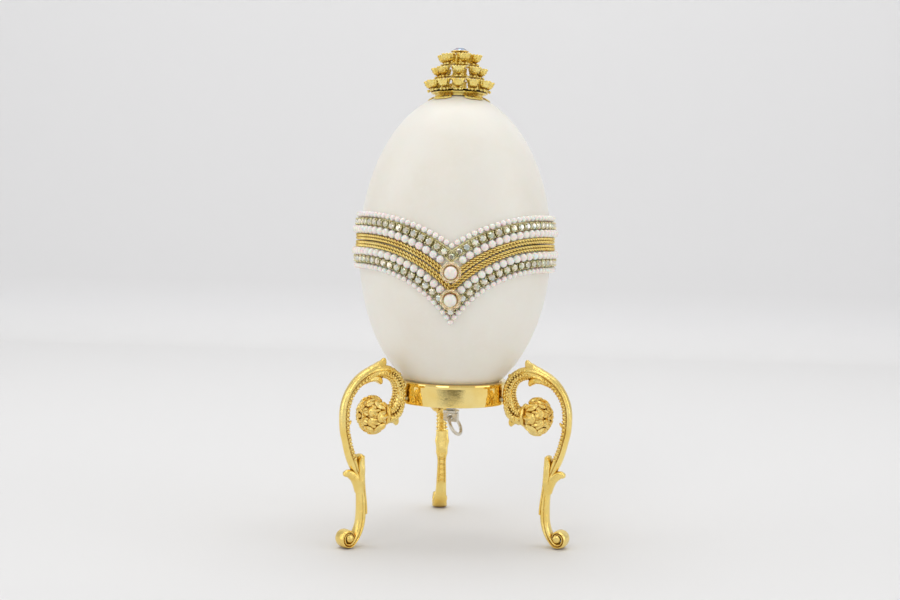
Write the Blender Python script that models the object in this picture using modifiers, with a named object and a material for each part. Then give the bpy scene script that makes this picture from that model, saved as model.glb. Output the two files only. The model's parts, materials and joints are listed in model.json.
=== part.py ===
"""Hinged goose-egg music box on a three-legged gilt stand, wound by a folding key.

Lengths in this file are millimetres and are scaled to metres as the meshes are made.
The egg's own axis is the working axis: +Z is up and the point of the V faces -Y.
Angles round the egg (phi) start at the front (-Y) and grow towards +X.
"""
import math

import bmesh
import bpy
from mathutils import Matrix, Vector

MM = 0.001
GAP = 0.3

# Egg and its cut
EGG_R = 29.4
EGG_HALF = 47.0
EGG_MID_Z = 88.9
EGG_TAPER = 0.012
SHELL = 1.2
SEAM_Z = 90.7
SEAM_GAP = 0.3
VEE_DEPTH = 11.75
VEE_HALF = math.radians(68.0)
VEE_POWER = 3.0

# Trims either side of the cut: distance from the cut, half thickness
BRAID = (1.0, 0.7)
PEARLS = (3.2, 1.05)
CUPS = (5.45, 0.95)
SEEDS = (7.6, 0.85)
HINGE_SIDE = math.radians(161.0)

# Pearls in filigree caps at the point of the V
CAP_ABOVE = 3.6
CAP_BELOW = 3.8
V_PEARL_R = 2.0
V_PEARL_OUT = 4.3

# Lid hinge
HINGE_Y = 31.6
HINGE_R = 1.3
HINGE_PIN_R = 0.55
KNUCKLE = 3.0
KNUCKLES = 5

# Stand
RING_R = 17.0
RING_TOP = 48.3
RING_LOW = 41.5
STAND_TURN = 6.9
LEG_ANGLES = (-60.0, 60.0, 180.0)
LEG_NAMES = ("left", "right", "rear")
FOOT_RHO = 36.5
FOOT_Z = 2.75
FOOT_R = 2.95
FOOT_W = 5.5
SCREW_Z = 43.3
ROSETTE_Z = 39.0
ROSETTE_R = 5.85

# Winding key
KEY_TURN = -24.0
KEY_SWING = 29.0
KEY_EYE_Z = 36.6
KEY_RING_R = 3.0
KEY_WIRE_R = 0.45

# Crown
CROWN = (("crown_tier_1", 10.7, 136.5, 140.2),
         ("crown_tier_2", 8.5, 140.6, 144.1),
         ("crown_tier_3", 6.8, 144.5, 147.9))
CROWN_TOP = 149.65
STONE_R = 2.5

# Musical movement
PLATE_Z = 58.5
PLATE_T = 1.2
CYL_Y = 10.9
CYL_Z = 66.0
CYL_R = 3.4
PLATFORM_Z = 72.4

# The egg's axis, so that the whole piece is centred on the origin
AXIS_X = -2.08
AXIS_Y = -2.0

COLOURS = {
    "pearl_shell": ((0.86, 0.80, 0.70, 1.0), 0.25, 0.0),
    "gilt": ((0.90, 0.62, 0.22, 1.0), 0.2, 1.0),
    "antique_gilt": ((0.72, 0.50, 0.20, 1.0), 0.35, 1.0),
    "pearl": ((0.90, 0.84, 0.80, 1.0), 0.2, 0.0),
    "crystal": ((0.75, 0.70, 0.80, 1.0), 0.05, 0.0),
    "velvet": ((0.55, 0.02, 0.05, 1.0), 0.9, 0.0),
    "nickel": ((0.60, 0.60, 0.60, 1.0), 0.3, 1.0),
    "brass": ((0.78, 0.60, 0.28, 1.0), 0.3, 1.0),
    "steel": ((0.55, 0.56, 0.58, 1.0), 0.35, 1.0),
    "dark_board": ((0.10, 0.08, 0.07, 1.0), 0.8, 0.0),
}


def egg_r(z):
    """Radius of the egg's outside at height z."""
    t = (z - EGG_MID_Z) / EGG_HALF
    return EGG_R * math.sqrt(max(0.0, 1.0 - t * t)) * (1.0 - EGG_TAPER * t)


def egg_normal(phi, z):
    """Outward direction of the egg's surface."""
    slope = (egg_r(z + 0.05) - egg_r(z - 0.05)) / 0.1
    out = Vector((math.sin(phi), -math.cos(phi), -slope))
    return out.normalized()


def on_egg(phi, z, height):
    """A point at a height off the egg's surface."""
    r = egg_r(z)
    return Vector((r * math.sin(phi), -r * math.cos(phi), z)) + egg_normal(phi, z) * height


def vee_share(phi):
    return max(0.0, 1.0 - abs(phi) / VEE_HALF)


def seam_z(phi):
    """Height of the cut, level round the back and dipping to a V in front."""
    return SEAM_Z - VEE_DEPTH * vee_share(phi) ** VEE_POWER


def trim_z(phi, side, offset):
    """Height of a line that keeps its distance from the cut, above (+1) or below (-1)."""
    slope = VEE_POWER * VEE_DEPTH * vee_share(phi) ** (VEE_POWER - 1.0) / (VEE_HALF * EGG_R)
    return seam_z(phi) + side * offset * math.sqrt(1.0 + slope * slope)


for old in list(bpy.data.objects):
    bpy.data.objects.remove(old, do_unlink=True)

parts = bpy.data.collections.new("jewelled_egg_music_box")
bpy.context.scene.collection.children.link(parts)
egg_axis = bpy.data.objects.new("egg_axis", None)
egg_axis.location = (AXIS_X * MM, AXIS_Y * MM, 0.0)
parts.objects.link(egg_axis)


def material(name, look):
    """One Principled material for each part."""
    colour, rough, metal = COLOURS[look]
    mat = bpy.data.materials.new(name + "_" + look)
    mat.use_nodes = True
    shader = mat.node_tree.nodes["Principled BSDF"]
    shader.inputs["Base Color"].default_value = colour
    shader.inputs["Roughness"].default_value = rough
    shader.inputs["Metallic"].default_value = metal
    mat.diffuse_color = colour
    return mat


def joint_empty(name, point, parent=egg_axis):
    """An empty on a joint's axis; point is in the egg's frame."""
    empty = bpy.data.objects.new(name, None)
    empty.parent = parent
    empty.location = Vector(point) * MM
    if parent is not egg_axis:
        empty.location -= parent.location
    parts.objects.link(empty)
    return empty


def add(name, mesh, matrix=Matrix()):
    obj = bpy.data.objects.new(name, mesh)
    obj.matrix_world = matrix
    bpy.context.scene.collection.objects.link(obj)
    return obj


def bake(obj):
    """Swap an object for the plain mesh that its modifiers or curve settings give."""
    graph = bpy.context.evaluated_depsgraph_get()
    mesh = bpy.data.meshes.new_from_object(obj.evaluated_get(graph))
    bm = bmesh.new()
    bm.from_mesh(mesh)
    bmesh.ops.remove_doubles(bm, verts=bm.verts, dist=2e-6)
    bm.to_mesh(mesh)
    bm.free()
    matrix = obj.matrix_world.copy()
    name = obj.name
    bpy.data.objects.remove(obj, do_unlink=True)
    return add(name, mesh, matrix)


def finish(obj, look, parent=egg_axis):
    """Give a part its material and parent, and shade it smooth."""
    obj.data.materials.clear()
    obj.data.materials.append(material(obj.name, look))
    obj.data.shade_smooth()
    obj.data.set_sharp_from_angle(angle=math.radians(35.0))
    bpy.context.scene.collection.objects.unlink(obj)
    parts.objects.link(obj)
    place = obj.matrix_world.copy()
    obj.parent = parent
    if parent is not egg_axis:
        back = Vector(parent.location)
        above = parent.parent
        while above is not egg_axis:
            back += Vector(above.location)
            above = above.parent
        obj.matrix_parent_inverse = Matrix.Translation(-back)
    obj.matrix_basis = place
    return obj


def joined(target, tool, operation="UNION"):
    """Boolean of two mesh objects; the second one is used up."""
    mod = target.modifiers.new("join", 'BOOLEAN')
    mod.operation = operation
    mod.object = tool
    mod.solver = 'EXACT'
    done = bake(target)
    bpy.data.objects.remove(tool, do_unlink=True)
    return done


def cut(target, tool):
    return joined(target, tool, "DIFFERENCE")


def lathe(name, profile, steps=36, matrix=Matrix(), loop=True):
    """Turn a profile of (radius, height) round Z; it runs down its outer side."""
    mesh = bpy.data.meshes.new(name)
    bm = bmesh.new()
    verts = [bm.verts.new((r * MM, 0.0, z * MM)) for r, z in profile]
    for a, b in zip(verts, verts[1:]):
        bm.edges.new((a, b))
    if loop:
        bm.edges.new((verts[-1], verts[0]))
    bm.to_mesh(mesh)
    bm.free()
    obj = add(name, mesh, matrix)
    mod = obj.modifiers.new("turn", 'SCREW')
    mod.steps = steps
    mod.render_steps = steps
    mod.use_merge_vertices = True
    mod.merge_threshold = 0.00001
    return bake(obj)


def box(name, low, high, matrix=Matrix(), bevel=0.0):
    """A box between two corners."""
    mesh = bpy.data.meshes.new(name)
    bm = bmesh.new()
    bmesh.ops.create_cube(bm, size=1.0)
    size = Vector(high) - Vector(low)
    mid = (Vector(high) + Vector(low)) / 2.0
    bmesh.ops.scale(bm, vec=size * MM, verts=bm.verts)
    bmesh.ops.translate(bm, vec=mid * MM, verts=bm.verts)
    bm.to_mesh(mesh)
    bm.free()
    obj = add(name, mesh, matrix)
    if bevel:
        mod = obj.modifiers.new("edge", 'BEVEL')
        mod.width = bevel * MM
        mod.segments = 1
        obj = bake(obj)
    return obj


def rod(name, start, end, radius, end_radius=None, steps=24):
    """A cylinder or cone between two points."""
    start = Vector(start) * MM
    end = Vector(end) * MM
    top = radius if end_radius is None else end_radius
    mesh = bpy.data.meshes.new(name)
    bm = bmesh.new()
    bmesh.ops.create_cone(bm, cap_ends=True, segments=steps, radius1=radius * MM,
                          radius2=top * MM, depth=(end - start).length)
    bm.to_mesh(mesh)
    bm.free()
    turn = (end - start).to_track_quat('Z', 'Y').to_matrix().to_4x4()
    return bake(add(name, mesh, Matrix.Translation((start + end) / 2.0) @ turn))


def tube(name, points, radius, sides=6, closed=False, widths=None):
    """A bevelled curve through points, with filled caps, turned into a mesh."""
    data = bpy.data.curves.new(name, 'CURVE')
    data.dimensions = '3D'
    data.bevel_depth = radius * MM
    data.bevel_resolution = (sides - 4) // 2
    data.use_fill_caps = not closed
    data.twist_mode = 'MINIMUM'
    spline = data.splines.new('POLY')
    spline.points.add(len(points) - 1)
    spline.use_cyclic_u = closed
    for i, point in enumerate(points):
        co = Vector(point) * MM
        spline.points[i].co = (co.x, co.y, co.z, 1.0)
        spline.points[i].radius = 1.0 if widths is None else widths[i]
    obj = bpy.data.objects.new(name, data)
    bpy.context.scene.collection.objects.link(obj)
    return bake(obj)


def smooth_line(knots, count):
    """Evenly spread points on a Catmull-Rom line through knots of (x, y, width)."""
    fine = []
    for i in range(len(knots) - 1):
        p0 = Vector(knots[max(i - 1, 0)])
        p1 = Vector(knots[i])
        p2 = Vector(knots[i + 1])
        p3 = Vector(knots[min(i + 2, len(knots) - 1)])
        for k in range(12):
            t = k / 12.0
            fine.append(0.5 * (2.0 * p1 + (p2 - p0) * t
                               + (2.0 * p0 - 5.0 * p1 + 4.0 * p2 - p3) * t * t
                               + (3.0 * p1 - p0 - 3.0 * p2 + p3) * t ** 3))
    fine.append(Vector(knots[-1]))
    far = [0.0]
    for a, b in zip(fine, fine[1:]):
        far.append(far[-1] + (b.xy - a.xy).length)
    out = []
    at = 0
    for k in range(count):
        want = far[-1] * k / (count - 1)
        while at < len(far) - 2 and far[at + 1] < want:
            at += 1
        span = far[at + 1] - far[at]
        out.append(fine[at].lerp(fine[at + 1], (want - far[at]) / span if span else 0.0))
    return out


def seam_tool(name, low, high, shift_low=None, shift_high=None, segments=60):
    """A thick ring whose lower or upper face follows the cut; it trims the egg's halves."""
    def height(phi, level, shift):
        return level if shift is None else seam_z(phi) + shift

    corners = [(14.0, low, shift_low), (14.0, high, shift_high),
               (36.0, high, shift_high), (36.0, low, shift_low)]
    bm = bmesh.new()
    rings = []
    for radius, level, shift in corners:
        ring = bmesh.ops.create_circle(bm, segments=segments, radius=radius * MM)["verts"]
        for vert in ring:
            phi = math.atan2(vert.co.x, -vert.co.y)
            vert.co.z = height(phi, level, shift) * MM
        rings.append(ring)
    for a in range(4):
        b = (a + 1) % 4
        for i in range(segments):
            j = (i + 1) % segments
            if corners[a][0] <= corners[b][0]:
                bm.faces.new((rings[a][i], rings[a][j], rings[b][j]))
                bm.faces.new((rings[a][i], rings[b][j], rings[b][i]))
            else:
                bm.faces.new((rings[a][i], rings[a][j], rings[b][i]))
                bm.faces.new((rings[a][j], rings[b][j], rings[b][i]))
    bmesh.ops.recalc_face_normals(bm, faces=bm.faces)
    mesh = bpy.data.meshes.new(name)
    bm.to_mesh(mesh)
    bm.free()
    return add(name, mesh)


def egg_profile(z_high, z_low, outer, inner, rows):
    """Closed profile between two depths under the egg's surface."""
    down = []
    up = []
    for i in range(rows + 1):
        turn = math.pi * i / rows
        z = (z_high + z_low) / 2.0 + (z_high - z_low) / 2.0 * math.cos(turn)
        z = 0.5 * z + 0.5 * (z_high + (z_low - z_high) * i / rows)
        r = egg_r(z)
        slope = (egg_r(z + 0.05) - egg_r(z - 0.05)) / 0.1
        length = math.sqrt(1.0 + slope * slope)
        down.append((r - outer / length, z + outer * slope / length))
        up.append((r - inner / length, z + inner * slope / length))
    return down + up[::-1]


# ------------------------------------------------------------------ the egg
lid_hinge = joint_empty("lid_hinge_axis", (0.0, HINGE_Y, SEAM_Z))

lower_shell = lathe("lower_shell", egg_profile(97.0, 42.07, 0.0, SHELL, 8), 36)
lower_shell = cut(lower_shell, rod("hole", (0, 0, 38), (0, 0, 50), 2.6))
lower_shell = cut(lower_shell, seam_tool("trim", 0.0, 110.0, -SEAM_GAP / 2.0, None))
finish(lower_shell, "pearl_shell")

upper_shell = lathe("upper_shell", egg_profile(135.85, 72.0, 0.0, SHELL, 9), 36)
upper_shell = cut(upper_shell, rod("hole", (0, 0, 130), (0, 0, 140), 1.6))
upper_shell = cut(upper_shell, seam_tool("trim", 60.0, 0.0, None, SEAM_GAP / 2.0))
finish(upper_shell, "pearl_shell", lid_hinge)

LINE_OUT = SHELL + GAP
LINE_IN = LINE_OUT + 0.8
lower_lining = lathe("lower_lining", egg_profile(97.0, PLATFORM_Z - 1.5, LINE_OUT, LINE_IN, 3), 36)
lower_lining = cut(lower_lining, seam_tool("trim", 0.0, 110.0, -0.5, None))
finish(lower_lining, "velvet")

upper_lining = lathe("upper_lining", egg_profile(130.5, 72.0, LINE_OUT, LINE_IN, 5), 36)
upper_lining = cut(upper_lining, seam_tool("trim", 60.0, 0.0, None, 0.5))
finish(upper_lining, "velvet", lid_hinge)


# ------------------------------------------------------------------ trims on the cut
def trim_points(side, offset, height, start, end, count):
    out = []
    for i in range(count):
        phi = start + (end - start) * i / (count - 1)
        z = trim_z(phi, side, offset)
        out.append(on_egg(phi, z, height))
    return out


for half, side, parent in (("lower", -1, egg_axis), ("upper", 1, lid_hinge)):
    for label, (offset, thick), look in (("braid", BRAID, "antique_gilt"),
                                         ("cup_chain", CUPS, "antique_gilt"),
                                         ("seed_pearls", SEEDS, "pearl")):
        line = trim_points(side, offset, thick + GAP, -HINGE_SIDE, HINGE_SIDE, 37)
        finish(tube(half + "_" + label, line, thick), look, parent)
    for hand, sign in (("left", -1.0), ("right", 1.0)):
        line = trim_points(side, PEARLS[0], PEARLS[1] + GAP,
                           sign * 3.7 / EGG_R, sign * HINGE_SIDE, 18)
        finish(tube(half + "_pearls_" + hand, line, PEARLS[1]), "pearl", parent)

    centre_z = seam_z(0.0) + (CAP_ABOVE if side > 0 else -CAP_BELOW)
    seat = on_egg(0.0, centre_z, 0.0) * MM
    out = egg_normal(0.0, centre_z)
    face = Matrix.Translation(seat) @ out.to_track_quat('Z', 'Y').to_matrix().to_4x4()
    bowl = [(0.0, 1.95), (1.2, 2.34), (1.85, 2.95), (2.3, 3.75), (2.85, 3.65), (2.85, 3.3),
            (2.0, 2.55), (1.2, 2.0), (0.4, 1.5), (0.4, GAP), (0.0, GAP)]
    finish(lathe(half + "_bead_cap", bowl, 24, face, loop=False), "gilt", parent)
    ball = bpy.data.meshes.new("ball")
    bm = bmesh.new()
    bmesh.ops.create_uvsphere(bm, u_segments=16, v_segments=9, radius=V_PEARL_R * MM)
    bm.to_mesh(ball)
    bm.free()
    up = Matrix.Translation((0.0, 0.0, V_PEARL_OUT * MM))
    finish(bake(add(half + "_vee_pearl", ball, face @ up)), "pearl", parent)


# ------------------------------------------------------------------ lid hinge
def hinge_leaf(name, side, slots):
    """A curved leaf on the egg's back with its knuckles round the pin."""
    near = SEAM_Z + side * 1.7
    far = SEAM_Z + side * 7.2
    high = max(near, far)
    low = min(near, far)
    leaf = lathe(name, egg_profile(high, low, -1.1, -GAP, 2), 72)
    leaf = joined(leaf, box("keep", (-8.1, 20.0, low - 3), (8.1, 40.0, high + 3)), "INTERSECT")
    pitch = KNUCKLE + GAP
    for slot in slots:
        x = (slot - (KNUCKLES - 1) / 2.0) * pitch
        low_x = x - KNUCKLE / 2.0
        high_x = x + KNUCKLE / 2.0
        arm = box("arm", (low_x, HINGE_Y - 1.75, min(SEAM_Z + side * 0.1, SEAM_Z + side * 2.6)),
                  (high_x, HINGE_Y - 0.4, max(SEAM_Z + side * 0.1, SEAM_Z + side * 2.6)))
        eye = rod("eye", (low_x, HINGE_Y, SEAM_Z), (high_x, HINGE_Y, SEAM_Z), HINGE_R, None, 14)
        leaf = joined(leaf, joined(eye, arm))
    bore = rod("bore", (-12, HINGE_Y, SEAM_Z), (12, HINGE_Y, SEAM_Z), HINGE_PIN_R + GAP, None, 12)
    return cut(leaf, bore)


finish(hinge_leaf("lower_hinge_leaf", -1, (0, 2, 4)), "gilt")
finish(hinge_leaf("upper_hinge_leaf", 1, (1, 3)), "gilt", lid_hinge)
finish(rod("hinge_pin", (-8.6, HINGE_Y, SEAM_Z), (8.6, HINGE_Y, SEAM_Z), HINGE_PIN_R, None, 12),
       "gilt")

# ------------------------------------------------------------------ crown
cap_line = []
for k in range(5):
    r = 8.7 * (1.0 - k / 4.0) + 3.4 * (k / 4.0)
    lift = EGG_MID_Z + EGG_HALF * math.sqrt(1.0 - (r / (EGG_R * (1.0 - EGG_TAPER))) ** 2) + GAP
    cap_line.append((r, lift))
crown_base = lathe("crown_base", [(3.4, 136.2), (9.9, 136.2), (9.6, 135.4), (8.9, 134.8)]
                   + cap_line, 24)
finish(crown_base, "gilt", lid_hinge)
finish(lathe("crown_post", [(0.0, 148.0), (1.5, 148.0), (1.5, 136.5), (1.2, 136.5),
                            (1.2, 130.2), (0.0, 130.2)], 20, loop=False), "gilt", lid_hinge)
for name, r, low, high in CROWN:
    wall = [(r - 0.5, high), (r, high - 0.9), (r, low + 0.9), (r - 0.6, low), (1.8, low),
            (1.8, low + 1.6), (r - 2.6, low + 1.6), (r - 2.6, high)]
    finish(lathe(name, wall, 24), "gilt", lid_hinge)
finish(lathe("stone_setting", [(0.0, CROWN_TOP - 1.15), (STONE_R + 0.3, CROWN_TOP - 1.15),
                               (STONE_R + 0.3, CROWN_TOP - 1.5), (0.0, CROWN_TOP - 1.5)], 24,
             loop=False), "gilt", lid_hinge)
dome = [(0.0, CROWN_TOP)]
for k in range(1, 6):
    turn = math.pi / 2.0 * k / 5.0
    dome.append((STONE_R * math.sin(turn), CROWN_TOP - 1.0 + math.cos(turn)))
finish(lathe("crown_stone", dome + [(0.0, CROWN_TOP - 1.0)], 24, loop=False), "crystal", lid_hinge)

# ------------------------------------------------------------------ stand
ring_profile = [(16.4, RING_TOP), (17.1, RING_TOP - 0.25), (17.25, RING_TOP - 0.7),
                (RING_R, RING_TOP - 1.2), (RING_R, RING_LOW + 0.3), (RING_R - 0.3, RING_LOW),
                (RING_R - 1.5, RING_LOW), (RING_R - 1.5, 45.2)]
for k in range(4):
    z = 45.6 + k * (RING_TOP - 45.6) / 3.0
    ring_profile.append((egg_r(z) + GAP * 1.2, z))
ring = lathe("stand_ring", ring_profile, 36)

LEG_LINE = [(24.4, 39.0, 2.6), (22.4, 38.9, 2.7), (20.4, 40.2, 2.3), (19.5, 42.7, 1.8),
            (19.1, 45.3, 1.5), (19.6, 48.3, 1.35), (21.3, 50.6, 1.45), (23.9, 51.9, 1.7),
            (26.5, 52.1, 1.75), (29.2, 51.7, 1.6), (31.7, 50.6, 1.5), (34.1, 48.9, 1.4),
            (36.2, 46.4, 1.3), (37.5, 43.6, 1.25), (38.1, 41.2, 1.25), (38.2, 38.3, 1.25),
            (38.0, 35.0, 1.25), (37.4, 32.0, 1.25), (36.5, 29.0, 1.3), (35.3, 26.0, 1.8),
            (34.0, 23.2, 1.7), (33.1, 20.5, 1.4), (32.5, 17.5, 1.3), (32.1, 14.2, 1.4),
            (31.95, 10.8, 1.5), (32.2, 7.6, 1.5), (33.2, 5.0, 1.5), (35.2, 3.3, 1.6)]
THORNS = [((25.4, 51.8), (24.9, 55.6), 1.8), ((27.2, 51.5), (26.0, 48.3), 1.7),
          ((20.9, 39.4), (20.2, 35.6), 1.5), ((35.2, 24.2), (38.2, 22.3), 1.6),
          ((35.4, 25.6), (32.6, 26.9), 1.5)]


def leg_shape(name):
    """A cast scroll leg, drawn in the X-Z plane with the egg's axis at X = 0."""
    line = smooth_line(LEG_LINE, 28)
    body = tube(name, [(p.x, 0.0, p.y) for p in line], 1.0, 6, False, [p.z for p in line])
    for root, tip, width in THORNS:
        thorn = rod("thorn", (root[0], 0.0, root[1]), (tip[0], 0.0, tip[1]), width, 0.6, 8)
        body = joined(body, thorn)
    foot = rod("foot", (FOOT_RHO, -FOOT_W / 2.0, FOOT_Z), (FOOT_RHO, FOOT_W / 2.0, FOOT_Z),
               FOOT_R, None, 20)
    body = joined(body, foot)
    pad = box("pad", (RING_R + 0.45, -1.6, 41.8), (19.2, 1.6, 46.8))
    body = joined(body, pad)
    body = cut(body, rod("bore", (16.0, 0.0, SCREW_Z), (18.9, 0.0, SCREW_Z), 1.1, None, 12))
    return cut(body, box("floor", (20.0, -10.0, -8.0), (50.0, 10.0, 0.0)))


rosette_profile = [(0.0, 33.6), (1.6, 33.4), (3.4, 32.5), (5.0, 31.2), (ROSETTE_R, 29.4), (5.7, 28.0),
                   (4.9, 26.8), (3.6, 26.1), (3.4, 25.2), (0.0, 25.2)]
for name, angle in zip(LEG_NAMES, LEG_ANGLES):
    turn = math.radians(angle + STAND_TURN - 90.0)
    spin = Matrix.Rotation(turn, 4, 'Z')
    leg = leg_shape("leg_" + name)
    leg.matrix_world = spin
    finish(leg, "gilt")
    radial = Matrix.Translation((0.0, 0.0, ROSETTE_Z * MM)) @ Matrix.Rotation(math.pi / 2.0, 4, 'Y')
    flower = lathe("rosette_" + name, rosette_profile, 16, loop=False)
    flower.matrix_world = spin @ radial
    finish(flower, "gilt")
    shaft = lathe("leg_screw_" + name, [(0.0, 18.5), (0.8, 18.5), (0.8, 15.0), (1.6, 15.0),
                                        (1.6, 14.1), (0.0, 14.1)], 12, loop=False)
    shaft.matrix_world = spin @ Matrix.Translation((0.0, 0.0, SCREW_Z * MM)) \
        @ Matrix.Rotation(math.pi / 2.0, 4, 'Y')
    bpy.context.view_layer.update()
    hole = rod("hole", (12.0, 0.0, SCREW_Z), (20.0, 0.0, SCREW_Z), 1.1, None, 12)
    hole.matrix_world = spin @ hole.matrix_world
    ring = cut(ring, hole)
    finish(shaft, "steel")
finish(ring, "gilt")

# ------------------------------------------------------------------ winding key
key_axis = joint_empty("winding_axis", (0.0, 0.0, KEY_EYE_Z))
key_spin = Matrix.Rotation(math.radians(KEY_TURN), 4, 'Z')
arbor = lathe("winding_arbor", [(0.0, 70.6), (1.0, 70.6), (1.0, 60.0), (1.5, 60.0), (1.5, 39.0),
                                (0.0, 39.0)], 20, loop=False)
finish(arbor, "steel", key_axis)
hub = rod("key_hub", (0, 0, 37.9), (0, 0, 38.7), 2.5)
block = box("block", (-2.35, -1.0, 35.1), (2.35, 1.0, 38.2), bevel=0.25)
hub = joined(hub, block)
hub = cut(hub, rod("eye", (0, -3, KEY_EYE_Z), (0, 3, KEY_EYE_Z), 0.95, None, 20))
hub.matrix_world = key_spin @ hub.matrix_world
finish(hub, "nickel", key_axis)
swing_axis = joint_empty("key_ring_axis", (0.0, 0.0, KEY_EYE_Z), key_axis)
loop_line = []
for k in range(24):
    turn = 2.0 * math.pi * k / 24.0
    loop_line.append((0.0, KEY_RING_R * math.sin(turn), KEY_RING_R * math.cos(turn) - KEY_RING_R))
loop = tube("key_ring", loop_line, KEY_WIRE_R, 6, True)
eye = Matrix.Translation((0.0, 0.0, KEY_EYE_Z * MM))
loop.matrix_world = eye @ key_spin @ Matrix.Rotation(-math.radians(KEY_SWING), 4, 'Y')
finish(loop, "nickel", swing_axis)

# ------------------------------------------------------------------ musical movement
mount = lathe("movement_mount", [(egg_r(58.2) - SHELL - 0.8, 58.2),
                                 (egg_r(55.4) - SHELL - 0.9, 55.4), (3.0, 55.4), (3.0, 58.2)], 40)
finish(mount, "dark_board")
top = PLATE_Z + PLATE_T
plate = box("bedplate", (-11.5, -14.0, PLATE_Z), (11.5, 17.0, top), bevel=0.3)
plate = cut(plate, rod("hole", (0, 0, 55), (0, 0, 62), 2.2))
finish(plate, "brass")

barrel_axis = joint_empty("barrel_axis", (0.0, 0.0, 63.0))
barrel_line = [(6.3, 66.4), (6.3, 60.2), (1.4, 60.2), (1.4, 61.0), (5.6, 61.0), (5.6, 65.6),
               (1.4, 65.6), (1.4, 66.4)]
finish(lathe("spring_barrel", barrel_line, 24), "brass", barrel_axis)

def gear(name, start, end, radius, teeth, bore):
    """A wheel with square-cut teeth between two points on its axis."""
    wheel = rod(name, start, end, radius, None, teeth * 4)
    bm = bmesh.new()
    bm.from_mesh(wheel.data)
    for vert in bm.verts:
        turn = math.atan2(vert.co.y, vert.co.x) / (2.0 * math.pi) * teeth * 4
        if round(turn) % 4 in (0, 1):
            vert.co.x *= 0.88
            vert.co.y *= 0.88
    bm.to_mesh(wheel.data)
    bm.free()
    return cut(wheel, rod("bore", Vector(start) * 2 - Vector(end), Vector(end) * 2 - Vector(start),
                          bore, None, 16))


finish(gear("barrel_gear", (0, 0, 66.7), (0, 0, 67.8), 7.0, 24, 1.4), "brass", barrel_axis)

cylinder_axis = joint_empty("cylinder_axis", (0.0, CYL_Y, CYL_Z))
drum = rod("pin_cylinder", (-7.0, CYL_Y, CYL_Z), (7.0, CYL_Y, CYL_Z), CYL_R, None, 32)
axle = rod("axle", (-9.8, CYL_Y, CYL_Z), (9.8, CYL_Y, CYL_Z), 0.7, None, 16)
finish(joined(drum, axle), "brass", cylinder_axis)
finish(gear("cylinder_gear", (7.3, CYL_Y, CYL_Z), (8.2, CYL_Y, CYL_Z), 3.9, 18, 1.0), "brass",
       cylinder_axis)
for name, x in (("left", -9.2), ("right", 9.2)):
    stand = box("bearing_" + name, (x - 0.6, CYL_Y - 1.8, top + GAP), (x + 0.6, CYL_Y + 1.8, 67.8))
    stand = cut(stand, rod("bore", (x - 3, CYL_Y, CYL_Z), (x + 3, CYL_Y, CYL_Z), 1.0, None, 16))
    finish(stand, "brass")

comb_base = box("comb_base", (-7.2, 15.3, top + GAP), (7.2, 16.9, 65.3), bevel=0.2)
finish(comb_base, "steel")
comb = box("comb", (-7.0, CYL_Y + CYL_R + 0.35, 65.6), (7.0, 17.0, 66.3))
for k in range(11):
    x = -7.0 + 14.0 * (k + 1) / 12.0
    comb = cut(comb, box("slot", (x - 0.15, CYL_Y, 64.0), (x + 0.15, 15.6, 68.0)))
finish(comb, "steel")
for k, x in enumerate((-4.5, 4.5)):
    finish(rod("comb_screw_%d" % (k + 1), (x, 16.3, 66.6), (x, 16.3, 67.4), 0.65, None, 16),
           "steel")

bridge = box("barrel_bridge", (-8.6, -2.2, 69.0), (8.6, 2.2, 70.0), bevel=0.2)
for x in (-8.1, 8.1):
    bridge = joined(bridge, box("post", (x - 0.5, -1.8, top + GAP), (x + 0.5, 1.8, 69.4)))
bridge = cut(bridge, rod("bore", (0, 0, 66), (0, 0, 72), 1.3, None, 16))
finish(bridge, "brass")

governor_axis = joint_empty("governor_axis", (0.0, -10.5, 64.5))
worm = lathe("governor", [(0.0, 69.2), (0.45, 69.2), (0.45, 66.6), (1.1, 66.4), (1.1, 62.4),
                          (0.45, 62.2), (0.45, 60.9), (0.0, 60.9)], 16, loop=False)
worm.matrix_world = Matrix.Translation((0.0, -10.5 * MM, 0.0))
worm = bake(worm)
worm = joined(worm, box("fly", (-2.6, -10.65, 66.8), (2.6, -10.35, 68.4)))
finish(worm, "brass", governor_axis)
frame = box("governor_frame", (-3.6, -11.8, top + GAP), (3.6, -9.2, 70.2), bevel=0.2)
frame = cut(frame, box("window", (-2.95, -14.0, 60.7), (2.95, -7.0, 69.4)))
frame = cut(frame, rod("bore", (0, -10.5, 58), (0, -10.5, 60.9), 0.3, None, 12))
finish(frame, "brass")

platform = lathe("platform", [(0.0, PLATFORM_Z + 1.4), (22.0, PLATFORM_Z + 1.4),
                              (24.2, PLATFORM_Z + 0.9), (24.6, PLATFORM_Z + 0.4),
                              (24.3, PLATFORM_Z - 1.2), (0.0, PLATFORM_Z - 1.2)], 36, loop=False)
platform = cut(platform, rod("bore", (0, 22.6, 60), (0, 22.6, 80), 0.9, None, 16))
finish(platform, "velvet")
finish(rod("stop_pin", (0, 22.6, 63.0), (0, 22.6, 91.2), 0.5, None, 16), "steel",
       joint_empty("stop_pin_axis", (0, 22.6, 63.0)))
striker = box("lid_striker", (-1.6, 21.6, 91.6), (1.6, 26.7, 92.4), bevel=0.15)
finish(striker, "gilt", lid_hinge)
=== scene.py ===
"""Looks for the hinged goose-egg music box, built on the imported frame.

Working lengths are millimetres in the egg's own frame: its axis is X = Y = 0, the point of the V
faces -Y, and the stand's feet are at Z = 0. put() scales them to metres and moves them to the axis.
"""
import json
import math

import bmesh
import bpy
import numpy as np
from mathutils import Matrix, Vector


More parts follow.
